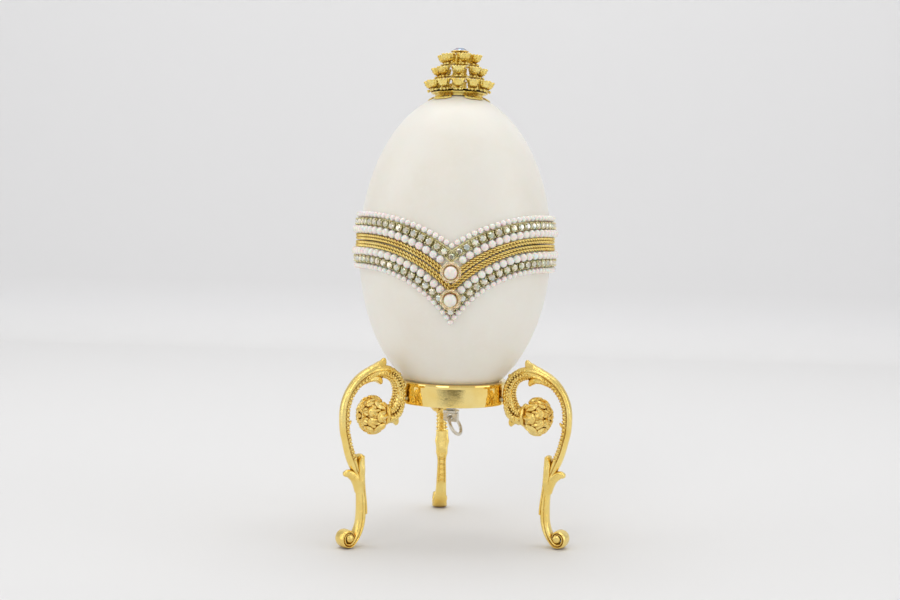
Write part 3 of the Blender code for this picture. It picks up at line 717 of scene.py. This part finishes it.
rng = np.random.default_rng(7)
for half, side, body in HALVES:
    parts = [rope(side, 0.60, 0.66, 0.44), rope(side, 1.52, 0.70, 0.46)]
    put(half + "_braid_ropes", merged(parts), ROPE, body, [half + "_braid"], 60.0)

    at, x, y, z = spaced(side, CHAIN_OFFSET, 0.25, -HINGE_SIDE, HINGE_SIDE, CHAIN_PITCH, True)
    turn = np.where(np.arange(len(at)) == len(at) // 2, math.pi / 4.0, 0.0)[:, None]
    x, y = np.cos(turn) * x + np.sin(turn) * y, np.cos(turn) * y - np.sin(turn) * x
    put(half + "_cups", merged([repeated(stone_cup(), at, x, y, z),
                                backing_strip(side, 4.15, 6.8, 0.22)]), CUP, body,
        [half + "_cup_chain"], 40.0)
    tilt = rng.normal(0.0, 0.10, (len(at), 2))
    zt = unit(z + x * tilt[:, :1] + y * tilt[:, 1:])
    xt = square_to(x, zt)
    put(half + "_stones", repeated(cut_stone(1.08, 0.6, 0.5), at + z * 0.98, xt,
                                   np.cross(zt, xt), zt), CRYSTAL, body, flat=True)

    at, x, y, z = spaced(side, SEED_OFFSET, 0.92, -HINGE_SIDE, HINGE_SIDE, SEED_PITCH, True)
    put(half + "_seed_pearl_strand", repeated(ball(0.9, 14, 8), at, x, y, z), PEARL, body,
        [half + "_seed_pearls"], 80.0)
    for hand, sign in (("left", -1.0), ("right", 1.0)):
        at, x, y, z = spaced(side, PEARL_OFFSET, 1.2, sign * 2.15 / EGG_R, sign * HINGE_SIDE,
                             PEARL_PITCH)
        sizes = 1.0 + rng.normal(0.0, 0.012, len(at))
        put(half + "_pearl_strand_" + hand, repeated(ball(1.2, 16, 10), at, x, y, z, sizes),
            PEARL, body, [half + "_pearls_" + hand], 80.0)


# ---------- pearls at the point of the V
def bead_cap():
    """A filigree cap on its peg: scalloped dish, wire petals and a rim of grains."""
    dish = turned([(0.6, 2.05), (1.3, 2.1), (1.9, 2.55), (2.35, 3.05), (2.75, 3.3), (2.8, 3.45),
                   (2.65, 3.5), (2.2, 3.35), (1.7, 2.9), (1.2, 2.4), (0.6, 2.35)], 64, 8, 0.06)
    peg = turned([(0.01, 2.3), (0.7, 2.3), (0.75, 2.05), (0.42, 1.6), (0.42, 0.55), (0.7, 0.2),
                  (0.8, -0.05), (0.01, -0.05)], 24)
    parts = [dish, peg] + grain_ring(8, 2.45, 3.6, 0.24, 0.5)
    for k in range(8):
        turn = 2.0 * math.pi * (k + 0.5) / 8.0
        loop = []
        for i in range(18):
            a = 2.0 * math.pi * i / 18.0
            r = 2.35 + 0.62 * math.cos(a)
            w = 0.78 * math.sin(a)
            loop.append((r * math.cos(turn) - w * math.sin(turn),
                         r * math.sin(turn) + w * math.cos(turn), 3.0 + 0.95 * (r - 1.7) * 0.55))
        parts.append(tube(loop, 0.13, 6, True))
    return merged(parts)


for (half, side, body), off_cut in zip(HALVES, (3.8, 3.6)):
    seat = stood_on_egg(0.0, float(seam_z(0.0)) + side * off_cut, 0.0)
    put(half + "_filigree_cap", moved(bead_cap(), seat), PALE_GOLD, body, [half + "_bead_cap"],
        50.0)
    drop = ball(1.86, 40, 24)
    drop = (drop[0] + np.array([0.0, 0.0, 4.3]), drop[1])
    put(half + "_big_pearl", moved(drop, seat), BIG_PEARL, body, [half + "_vee_pearl"], 80.0)


# ---------- hinge rivets
rivet = turned([(1.12, -0.15), (1.12, 0.12), (0.98, 0.28), (0.6, 0.42), (0.01, 0.47)], 28)
for half, side, body in HALVES:
    parts = [moved(rivet, stood_on_egg(math.pi + across / EGG_R, SEAM_Z + side * 4.9, 1.1))
             for across in (-5.4, 5.4)]
    put(half + "_hinge_rivets", merged(parts), GOLD, body)


# ---------- crown
def crown_cup():
    """One setting: flower foot, short stem, fluted bowl, rows of grains and a toothed lip."""
    parts = [turned([(0.1, 0.0), (1.0, 0.02), (1.25, 0.2), (1.0, 0.5), (0.55, 0.65), (0.6, 0.85),
                     (0.95, 1.05), (1.32, 1.4), (1.6, 1.85), (1.8, 2.45), (1.97, 2.85), (1.87, 3.1),
                     (1.65, 3.0), (1.5, 2.5), (0.1, 2.2)], 48, 12, 0.05)]
    for row in ((12, 1.84, 3.02, 0.30), (12, 1.66, 2.1, 0.22), (6, 1.1, 0.24, 0.42),
                (9, 1.3, 1.45, 0.18)):
        parts += grain_ring(*row)
    return merged(parts)


def ring_frames(count, radius, height, lean, phase):
    """Frames spread round the axis, leaning outwards: origins and the three directions."""
    turn = 2.0 * np.pi * (np.arange(count) + phase) / count
    out = np.stack([np.sin(turn), -np.cos(turn), np.zeros(count)], axis=1)
    up = np.array([[0.0, 0.0, 1.0]])
    z = unit(up * math.cos(lean) + out * math.sin(lean))
    x = np.cross(np.broadcast_to(up, out.shape), out)
    at = out * radius + up * height
    return at, x, np.cross(z, x), z


# tier, cups, radius, height, lean, phase and size of the cups
TIERS = ((1, 12, 8.35, 136.4, 0.14, 0.0, 1.0), (2, 8, 6.25, 140.4, 0.12, 0.0, 1.0),
         (3, 6, 4.6, 144.3, 0.10, 0.28, 1.03))
for tier, count, radius, base, lean, phase, size in TIERS:
    at, x, y, z = ring_frames(count, radius, base, lean, phase)
    sizes = np.full(count, size)
    plate = [(1.8, 0.35), (radius - 0.6, 0.5), (radius + 0.5, 0.35), (radius + 0.6, 0.2),
             (radius - 0.6, 0.05), (1.8, 0.05)]
    collar = [(1.8, 3.3), (2.2, 3.1), (1.95, 1.8), (2.6, 0.5), (1.8, 0.3)]
    parts = [repeated(crown_cup(), at, x, y, z, sizes),
             turned(raised(plate, base), 80, count, 0.1),
             turned(raised(collar, base), 48, 12, 0.1)]
    put("crown_row_%d" % tier, merged(parts), CROWN_GOLD, "lid", ["crown_tier_%d" % tier], 45.0)
    put("crown_row_%d_stones" % tier,
        repeated(cut_stone(1.5, 0.8, 0.55, 12), at + z * (2.65 * size), x, y, z, sizes), CRYSTAL,
        "lid", flat=True)


def on_top(phi, r, lift):
    """Points on the egg's crown end, a lift above the shell."""
    return np.stack([r * np.sin(phi), -r * np.cos(phi), crown_end_z(r) + lift], axis=-1)


def crown_petal(middle):
    """A wirework petal lying on the shell: rim, veins and grains."""
    t = np.linspace(0.0, 2.0 * np.pi, 34, endpoint=False)
    parts = []
    for size, wire in ((1.0, 0.24), (0.62, 0.17)):
        phi = middle + size * 0.36 * np.sin(t) * (1.0 - 0.25 * np.cos(t))
        r = 7.9 - size * 1.55 * np.cos(t) + 0.12 * np.abs(np.sin(t * 4.0))
        parts.append(tube(on_top(phi, r, 0.34), wire, 7, True))
    for k in range(-2, 3):
        f = np.linspace(0.0, 1.0, 9)
        parts.append(tube(on_top(middle + k * 0.10 * f, 6.3 + f * (3.1 - 0.25 * abs(k)), 0.4),
                          0.13, 6))
    grain = ball(0.25, 8, 6)
    f = np.linspace(-0.9, 0.9, 7)
    for spot in on_top(middle + 0.36 * f, 9.45 - f * f, 0.42):
        parts.append((grain[0] + spot, grain[1]))
    return merged(parts)


lip = [(r, crown_end_z(r) + 0.32) for r in (7.2, 6.0, 4.8, 3.5)]
parts = [turned([(3.3, 136.25), (7.3, 136.25), (8.3, 136.1), (8.5, 135.9), (8.3, 135.65),
                 (7.6, 135.5), (7.3, 135.1)] + lip, 120)]
parts += [crown_petal(math.radians(36.0 + 72.0 * k)) for k in range(5)]
put("crown_dish", merged(parts), CROWN_GOLD, "lid", ["crown_base"], 50.0)
put("crown_stem", turned([(0.01, 148.1), (1.1, 148.1), (1.5, 147.7), (1.5, 136.7), (1.2, 136.5),
                          (1.2, 130.2), (0.01, 130.2)], 32), GOLD, "lid", ["crown_post"], 40.0)
put("top_setting", turned([(0.01, 148.1), (0.9, 148.1), (1.5, 148.2), (2.45, 148.35),
                           (2.8, 148.55), (2.78, 148.72), (2.62, 148.78), (2.4, 148.62),
                           (0.01, 148.5)], 64, 16, 0.02), GOLD, "lid", ["stone_setting"], 50.0)
put("top_stone", moved(cut_stone(2.5, 1.45, 0.92, 12),
                       np.array(Matrix.Translation((0.0, 0.0, 148.7)))), TOP_CRYSTAL, "lid",
    ["crown_stone"], flat=True)


# ---------- stand ring
seat_line = [(float(egg_r(z)) + 0.34, z) for z in np.linspace(SEAT_LOW, RING_TOP, 8)]
ring_line = raised([(16.2, 0.02), (16.7, 0.0), (17.1, -0.2), (17.25, -0.55), (17.1, -0.95),
                    (RING_R, -1.15), (RING_R, -1.25)], RING_TOP) + [(RING_R, 44.5)]
ring_line += raised([(RING_R, 0.45), (RING_R, 0.35), (RING_R - 0.1, 0.1), (RING_R - 0.35, 0.0),
                     (RING_R - 1.2, 0.0), (RING_R - 1.5, 0.25)], RING_LOW)
ring_line += [(RING_R - 1.5, 45.2)] + seat_line + [ring_line[0]]
put("ring_band", turned(ring_line, 144), GOLD, "base", ["stand_ring"], 40.0)


# ---------- legs
# rows of (distance from the axis, height, half thickness, half width)
STEM = [(24.4, 39.0, 2.6, 2.5), (22.4, 38.9, 2.75, 2.5), (20.5, 40.2, 2.35, 2.3),
        (19.55, 42.7, 1.95, 2.0), (19.2, 45.3, 1.75, 1.9), (19.8, 48.2, 1.7, 1.9),
        (21.4, 50.4, 1.7, 1.9), (23.9, 51.8, 1.75, 2.0), (26.5, 52.0, 1.8, 2.1),
        (29.2, 51.6, 1.75, 2.1), (31.7, 50.5, 1.65, 2.0), (34.1, 48.8, 1.5, 1.8),
        (36.2, 46.3, 1.35, 1.65), (37.5, 43.6, 1.3, 1.6), (38.1, 41.0, 1.3, 1.6),
        (38.2, 38.3, 1.3, 1.55), (38.0, 35.0, 1.25, 1.55), (37.3, 32.0, 1.25, 1.5),
        (36.5, 29.0, 1.3, 1.5), (35.5, 26.4, 1.4, 1.6), (34.4, 23.8, 1.3, 1.5),
        (33.4, 21.4, 0.9, 1.2)]
SHANK = [(33.7, 22.6, 1.0, 1.3), (33.2, 21.0, 1.5, 1.75), (32.75, 18.8, 1.3, 1.6),
         (32.3, 16.2, 1.15, 1.5), (32.0, 13.2, 1.25, 1.6), (31.9, 10.2, 1.35, 1.7),
         (32.1, 7.5, 1.3, 1.8), (32.8, 5.0, 1.2, 2.0), (34.1, 2.75, 1.05, 2.3),
         (36.0, 1.05, 0.98, 2.6), (37.9, 1.35, 0.9, 2.6), (38.6, 2.95, 0.85, 2.5),
         (38.0, 4.35, 0.8, 2.4), (36.6, 4.8, 0.75, 2.3), (35.5, 4.1, 0.65, 2.2),
         (35.4, 3.0, 0.6, 2.1), (36.1, 2.4, 0.55, 2.0)]
GROWTHS = (
    # leaf over the arch: upright point, crest and curled lip
    ([(33.6, 49.3, 0.7, 1.7), (30.2, 51.7, 1.1, 2.1), (27.2, 53.0, 1.35, 2.1),
      (25.5, 54.1, 1.15, 1.5), (24.8, 55.5, 0.55, 0.8)], 3.0),
    ([(33.2, 49.0, 0.7, 1.9), (29.8, 50.9, 1.0, 2.4), (26.8, 51.7, 1.1, 2.5),
      (24.0, 51.6, 0.9, 2.3), (22.0, 50.4, 0.5, 1.8)], 4.0),
    ([(32.8, 48.6, 0.7, 1.7), (30.0, 49.8, 1.0, 2.1), (27.8, 49.9, 1.05, 2.0),
      (26.5, 49.2, 0.95, 1.6), (25.9, 48.2, 0.5, 0.8)], 3.0),
    # crest, spur and bracts on the hook
    ([(21.6, 49.4, 0.6, 1.6), (20.2, 50.0, 0.8, 1.4), (19.2, 50.9, 0.5, 0.8)], 2.0),
    ([(21.8, 39.2, 1.3, 1.9), (20.9, 37.6, 1.2, 1.5), (20.3, 36.2, 0.9, 1.1),
      (20.2, 35.5, 0.45, 0.6)], 2.0),
    ([(20.0, 47.0, 0.9, 2.2), (19.6, 44.6, 1.1, 2.45), (20.0, 42.2, 1.0, 2.4),
      (21.2, 40.6, 0.5, 1.8)], 4.0),
    # horns that clasp the stem at the knee
    ([(32.9, 16.2, 0.9, 1.4), (33.4, 18.9, 1.2, 1.8), (34.7, 21.0, 1.25, 1.8),
      (36.3, 22.1, 1.1, 1.5), (37.6, 21.9, 0.8, 1.1)], 2.0),
    ([(32.4, 15.6, 0.8, 1.5), (32.4, 18.6, 1.1, 2.0), (32.5, 22.0, 1.15, 2.5),
      (32.6, 24.8, 1.1, 2.6), (32.4, 27.2, 0.8, 2.2)], 3.0),
    # spur inside the lower stem
    ([(37.0, 36.6, 0.5, 0.8), (36.4, 37.0, 0.5, 0.7), (35.9, 37.6, 0.3, 0.4)], 0.0))
# rows of beads: the numbers that beads_along takes after its line
STEM_BEADS = [row for y in (-0.9, 0.9) for row in (
    (-0.42, y * 1.06, 0.52, 1.25, 0.44, 0.92, 0.9), (-0.86, y * 0.62, 0.34, 0.95, 0.44, 0.92, 0.9),
    (0.45, y, 0.42, 1.0, 0.02, 0.34), (-0.35, y * 1.02, 0.46, 1.1, 0.02, 0.34),
    (0.05, y * 1.08, 0.34, 0.9, 0.04, 0.30), (-0.94, y * 0.5, 0.42, 1.0, 0.10, 0.35))]
STEM_BEADS.append((-0.98, 0.0, 0.55, 1.12, 0.07, 0.37))
SHANK_BEADS = [(-0.92, y, 0.36, 0.6, 0.04, 0.40, 1.3) for y in (-0.72, 0.72)]
SHANK_BEADS.append((-0.98, 0.0, 0.52, 1.7, 0.06, 0.38, 0.7))


def plane_frames(line):
    """Unit directions along a line in the leg's plane, and square to it."""
    along = unit(np.gradient(line[:, :2], axis=0))
    return along, np.stack([-along[:, 1], along[:, 0]], axis=1)


def cast_bar(line, sides, power, groove, pits=None):
    """A swept bar whose flanks carry a groove and whose skin can be pebbled."""
    n = len(line)
    out = plane_frames(line)[1]
    turn = np.arange(sides) * 2.0 * np.pi / sides
    c = np.sign(np.cos(turn)) * np.abs(np.cos(turn)) ** power
    s = np.sign(np.sin(turn)) * np.abs(np.sin(turn)) ** power
    c = np.broadcast_to(c, (n, sides)).copy()
    s = np.broadcast_to(s, (n, sides)).copy()
    place, depth, width = groove
    s *= 1.0 - depth * np.exp(-((c - place) / width) ** 2)
    if pits is not None:
        far = travelled(line[:, :2])[:, None]
        lump = np.sin(far * 5.2) * np.sin(turn * 6.0 + far * 1.3) \
            + 0.6 * np.sin(far * 8.7 + 1.0) * np.sin(turn * 9.0 - far * 2.0)
        grow = 1.0 + pits[:, None] * lump
        c, s = c * grow, s * grow
    pts = np.zeros((n, sides, 3))
    pts[:, :, 0] = line[:, None, 0] + out[:, None, 0] * line[:, None, 2] * c
    pts[:, :, 2] = line[:, None, 1] + out[:, None, 1] * line[:, None, 2] * c
    pts[:, :, 1] = line[:, None, 3] * s
    return capped(pts.reshape(-1, 3), n, sides)


def growth(knots, veins):
    """A leaf lobe in the leg's plane, ribbed along its edges, with a rounded tip."""
    line = smooth_line(knots, 26)
    wave = np.abs(np.sin(np.pi * np.linspace(0.0, 1.0, 26) * veins))
    line[:, 2] *= 1.0 + 0.10 * wave
    line[:, 3] *= 1.0 - 0.12 * wave
    tip = line[-1].copy()
    tip[:2] += unit(line[-1:, :2] - line[-2:-1, :2])[0] * line[-1, 2] * 0.5
    tip[2:] *= 0.45
    return cast_bar(np.concatenate([line, [tip]]), 20, 0.9, (0.0, 0.16, 0.3))


def beads_along(line, across, y_share, radius, pitch, start, end, stretch=1.0):
    """Grains along a swept bar, at a share of its thickness and of its width."""
    along, out = plane_frames(line)
    far = travelled(line[:, :2])
    want = np.arange(far[-1] * start, far[-1] * end, pitch)
    place = line[:, :2] + out * line[:, 2:3] * across
    at = sampled(want, far, np.stack([place[:, 0], line[:, 3] * y_share, place[:, 1]], axis=1))
    x = unit(sampled(want, far, np.stack([along[:, 0], 0.0 * along[:, 0], along[:, 1]], axis=1)))
    y = np.broadcast_to(np.array([0.0, 1.0, 0.0]), x.shape)
    grain = ball(radius, 8, 6)
    return repeated((grain[0] * np.array([stretch, 1.0, 1.0]), grain[1]), at, x, y, np.cross(x, y))


def leg_part():
    """One scroll leg in its own plane: stem, shank, leaves, beading and the foot's scroll."""
    stem = smooth_line(STEM, 230)
    shank = smooth_line(SHANK, 150)
    pits = 0.055 * np.clip((0.36 - np.linspace(0.0, 1.0, len(stem))) / 0.06, 0.0, 1.0)
    parts = [cast_bar(stem, 40, 0.8, (-0.08, 0.30, 0.16), pits),
             cast_bar(shank, 32, 0.8, (0.0, 0.22, 0.22))]
    parts += [beads_along(stem, *row) for row in STEM_BEADS]
    parts += [beads_along(shank, *row) for row in SHANK_BEADS]
    parts += [growth(knots, veins) for knots, veins in GROWTHS]
    heart = ball(1.25, 18, 12)
    for y in (-1.9, 1.9):
        parts.append((heart[0] * np.array([1.0, 0.55, 1.0]) + np.array([36.5, y, 3.1]), heart[1]))
    points, faces = merged(parts)
    points[:, 2] = np.maximum(points[:, 2], 0.0)
    return points, faces


def fan_petal(length, width, thick):
    """A shell-like petal along +X with ribs that fan out from its root."""
    pts, faces = ball(1.0, 30, 14)
    angle = np.arctan2(pts[:, 1], pts[:, 0] + 1.25)
    reach = np.hypot(pts[:, 0] + 1.25, pts[:, 1])
    wave = np.cos(angle * 13.0)
    pts[:, :2] *= (1.0 + 0.09 * wave * np.clip(reach - 0.8, 0.0, 1.0))[:, None]
    pts[:, 2] += 0.34 * wave * np.clip(reach - 0.5, 0.0, 1.0) * np.sign(pts[:, 2])
    pts[:, 2] -= 0.35 * np.clip(pts[:, 0], 0.0, 1.0) ** 2
    return pts * np.array([length, width, thick]), faces


def flower_part():
    """A cast flower head along +Z: collar, swelling calyx, fanned petals, knobs and grains."""
    parts = [turned([(1.0, 23.6), (2.6, 23.7), (3.3, 24.1), (3.6, 24.6), (3.5, 25.1), (3.0, 25.4),
                     (3.4, 25.9), (4.4, 26.6), (4.9, 27.6), (4.95, 28.8), (4.5, 30.2), (3.6, 31.2),
                     (2.4, 31.9), (0.01, 32.2)], 96, 8, 0.06)]
    rows = ((8, 4.8, 27.9, 2.3, 1.95, 0.80, 1.9, 0.0), (8, 4.3, 30.4, 1.9, 1.65, 0.75, 1.05, 0.5),
            (6, 2.4, 32.1, 1.5, 1.3, 0.65, 0.45, 0.0))
    for count, radius, height, length, width, thick, lean, phase in rows:
        petal = fan_petal(length, width, thick)
        for k in range(count):
            spin = Matrix.Rotation(2.0 * math.pi * (k + phase) / count, 4, 'Z') \
                @ Matrix.Translation((radius, 0.0, height)) @ Matrix.Rotation(lean, 4, 'Y')
            parts.append(moved(petal, np.array(spin)))
    for row in ((8, 3.7, 31.5, 0.58), (6, 1.6, 32.7, 0.55), (1, 0.0, 32.7, 0.8),
                (16, 5.4, 29.1, 0.36)):
        parts += grain_ring(*row, 0.5, 12, 8)
    return merged(parts)


leg = leg_part()
flower = flower_part()
radial = np.array(Matrix.Translation((0.0, 0.0, 39.0)) @ Matrix.Rotation(math.pi / 2.0, 4, 'Y'))
for name, angle in LEGS:
    spin = np.array(Matrix.Rotation(math.radians(angle + STAND_TURN - 90.0), 4, 'Z'))
    put("scroll_leg_" + name, moved(leg, spin), CAST, "base", ["leg_" + name], 50.0)
    put("leg_flower_" + name, moved(flower, spin @ radial), FLOWER_GOLD, "base",
        ["rosette_" + name], 50.0)


# ---------- winding key
def bare_object(name, bm):
    """An object made from a bmesh, for a cut."""
    mesh = bpy.data.meshes.new(name)
    bm.to_mesh(mesh)
    bm.free()
    obj = bpy.data.objects.new(name, mesh)
    bpy.context.scene.collection.objects.link(obj)
    return obj


def key_block():
    """The key's block with the cross hole that its ring hangs in."""
    bm = bmesh.new()
    bmesh.ops.create_cube(bm, size=1.0)
    bmesh.ops.scale(bm, vec=(4.7, 2.0, 3.0), verts=bm.verts)
    bmesh.ops.translate(bm, vec=(0.0, 0.0, KEY_EYE_Z), verts=bm.verts)
    bmesh.ops.bevel(bm, geom=bm.edges[:], offset=0.35, segments=3, affect='EDGES')
    blank = bare_object("key_block_blank", bm)
    bm = bmesh.new()
    bmesh.ops.create_cone(bm, cap_ends=True, segments=40, radius1=0.95, radius2=0.95, depth=4.0)
    bmesh.ops.rotate(bm, cent=(0, 0, 0), matrix=Matrix.Rotation(math.pi / 2.0, 3, 'X'),
                     verts=bm.verts)
    bmesh.ops.translate(bm, vec=(0.0, 0.0, KEY_EYE_Z), verts=bm.verts)
    drill = bare_object("key_drill", bm)
    mod = blank.modifiers.new("eye", 'BOOLEAN')
    mod.operation = 'DIFFERENCE'
    mod.object = drill
    graph = bpy.context.evaluated_depsgraph_get()
    done = bpy.data.meshes.new_from_object(blank.evaluated_get(graph))
    pts = np.array([v.co[:] for v in done.vertices])
    faces = [tuple(p.vertices) for p in done.polygons]
    for obj in (blank, drill):
        bpy.data.objects.remove(obj, do_unlink=True)
    return pts, faces


flange = turned([(0.01, 38.75), (2.3, 38.75), (2.5, 38.6), (2.5, 38.05), (2.3, 37.9),
                 (0.01, 37.9)], 48)
key_spin = Matrix.Rotation(math.radians(KEY_TURN), 4, 'Z')
put("key_head", moved(merged([flange, key_block()]), np.array(key_spin)), NICKEL, "winding_key",
    ["key_hub"], 40.0)
turn = 2.0 * np.pi * np.arange(56) / 56.0
loop = KEY_LOOP_R * np.stack([0.0 * turn, np.sin(turn), np.cos(turn) - 1.0], axis=1)
swing = np.array(Matrix.Translation((0.0, 0.0, KEY_EYE_Z)) @ key_spin
                 @ Matrix.Rotation(-math.radians(KEY_SWING), 4, 'Y'))
put("key_loop_wire", moved(tube(loop, 0.52, 14, True), swing), NICKEL, "key_loop", ["key_ring"],
    80.0)


# ---------- floor, light and camera
# from here on, lengths are metres
WALL_Y = 0.61
SWEEP = 0.05


def backdrop():
    """Table top that curves up into a plain wall behind the piece."""
    line = [(-1.6, 0.0), (WALL_Y - SWEEP, 0.0)]
    for k in range(1, 9):
        turn = math.pi / 2.0 * k / 8.0
        line.append((WALL_Y - SWEEP + SWEEP * math.sin(turn), SWEEP - SWEEP * math.cos(turn)))
    line.append((WALL_Y, 2.2))
    verts = [(x, y, z) for x in (-2.6, 2.6) for y, z in line]
    n = len(line)
    mesh = bpy.data.meshes.new("backdrop")
    mesh.from_pydata(verts, [], [(i, i + 1, n + i + 1, n + i) for i in range(n - 1)])
    mesh.shade_smooth()
    m = Nodes("backdrop_paper")
    height = m.add("ShaderNodeSeparateXYZ")
    m.link(m.coords, height.inputs[0])
    # painted light: the table top is painted a little lighter than the upright wall, standing in
    # for the brighter light on the flat part
    tone = m.mix(m.span(height.outputs["Z"], 0.0, 0.03, 0.0, 1.0), (0.785, 0.778, 0.77),
                 (0.762, 0.758, 0.76))
    m.link(tone, m.shader.inputs["Base Color"])
    m.set(Roughness=0.7)
    mesh.materials.append(m.mat)
    obj = bpy.data.objects.new("backdrop", mesh)
    bpy.context.scene.collection.objects.link(obj)


def camera_foot():
    """A dark plate on the table under the camera, seen only in the polished metal."""
    turn = np.arange(48) * 2.0 * np.pi / 48.0
    verts = [(0.24 * math.cos(a), -0.42 + 0.095 * math.sin(a), 0.001) for a in turn]
    mesh = bpy.data.meshes.new("camera_foot")
    mesh.from_pydata(verts, [], [tuple(range(48))])
    m = Nodes("dark_plate")
    m.link(m.ramp(m.noise(60.0, 4.0), [(0.3, (0.03, 0.03, 0.03)), (0.7, (0.10, 0.10, 0.09))]),
           m.shader.inputs["Base Color"])
    m.set(Roughness=0.6)
    mesh.materials.append(m.mat)
    obj = bpy.data.objects.new("camera_foot", mesh)
    for ray in ("camera", "diffuse", "shadow", "transmission"):
        setattr(obj, "visible_" + ray, False)
    bpy.context.scene.collection.objects.link(obj)


backdrop()
camera_foot()

# studio light all round: greyer towards the camera, bluish white behind the piece
world = bpy.data.worlds.new("studio")
bpy.context.scene.world = world
world.use_nodes = True
tree = world.node_tree
sky = tree.nodes["Background"]
where = tree.nodes.new("ShaderNodeTexCoord")
split = tree.nodes.new("ShaderNodeSeparateXYZ")
tree.links.new(where.outputs["Generated"], split.inputs[0])
front = tree.nodes.new("ShaderNodeMapRange")
tree.links.new(split.outputs["Y"], front.inputs["Value"])
front.inputs["From Min"].default_value = -1.0
front.inputs["From Max"].default_value = 1.0
shade = tree.nodes.new("ShaderNodeValToRGB")
tree.links.new(front.outputs["Result"], shade.inputs["Fac"])
stops = shade.color_ramp.elements
stops[0].color = (0.86, 0.86, 0.86, 1.0)
stops[1].position = 0.6
stops[1].color = (0.95, 0.97, 1.0, 1.0)
stops.new(0.10).color = (0.86, 0.86, 0.87, 1.0)
stops.new(0.30).color = (0.90, 0.91, 0.93, 1.0)
tree.links.new(shade.outputs["Color"], sky.inputs["Color"])
sky.inputs["Strength"].default_value = 0.70


def softbox(name, place, target, width, height, power, colour=(1.0, 1.0, 1.0)):
    """A rectangular lamp aimed at a target, which the camera doesn't see."""
    data = bpy.data.lights.new(name, 'AREA')
    data.shape = 'RECTANGLE'
    data.size = width
    data.size_y = height
    data.energy = power
    data.color = colour
    obj = bpy.data.objects.new(name, data)
    obj.location = place
    aim = Vector(target) - Vector(place)
    obj.rotation_euler = aim.to_track_quat('-Z', 'Y').to_euler()
    obj.visible_camera = False
    bpy.context.scene.collection.objects.link(obj)


middle = (0.0, 0.0, 0.085)
softbox("key_softbox", (-0.22, -0.62, 0.62), middle, 0.34, 0.42, 0.8, (1.0, 0.985, 0.965))
softbox("left_softbox", (-0.75, -0.15, 0.30), middle, 0.5, 0.7, 0.9)
softbox("right_softbox", (0.75, -0.20, 0.30), middle, 0.5, 0.7, 0.95)
softbox("wall_softbox", (0.0, 0.20, 1.0), (0.0, 0.61, 0.30), 1.6, 0.3, 2.3)
softbox("top_softbox", (0.0, 0.10, 0.85), middle, 0.8, 0.6, 1.35)
softbox("front_softbox", (0.10, -1.0, 0.12), middle, 0.9, 0.5, 0.7)

# millimetres again: the camera's distance and height, and its angles
CAM_AWAY = 385.0
CAM_Z = 94.0
CAM_SIDE = math.radians(1.905)
CAM_YAW = math.radians(0.18)
CAM_DOWN = math.radians(3.16)
CAM_ROLL = math.radians(1.4)
data = bpy.data.cameras.new("camera")
data.lens = 50.0
data.sensor_width = 36.0
data.clip_start = 0.01
camera = bpy.data.objects.new("camera", data)
spot = AXIS + MM * np.array([math.sin(CAM_SIDE) * CAM_AWAY, -math.cos(CAM_SIDE) * CAM_AWAY,
                             CAM_Z])
camera.matrix_world = (Matrix.Translation(spot.tolist())
                       @ Matrix.Rotation(CAM_SIDE + CAM_YAW, 4, 'Z')
                       @ Matrix.Rotation(math.pi / 2.0 - CAM_DOWN, 4, 'X')
                       @ Matrix.Rotation(CAM_ROLL, 4, 'Z'))
bpy.context.scene.collection.objects.link(camera)
bpy.context.scene.camera = camera
bpy.context.scene.view_settings.view_transform = 'Standard'
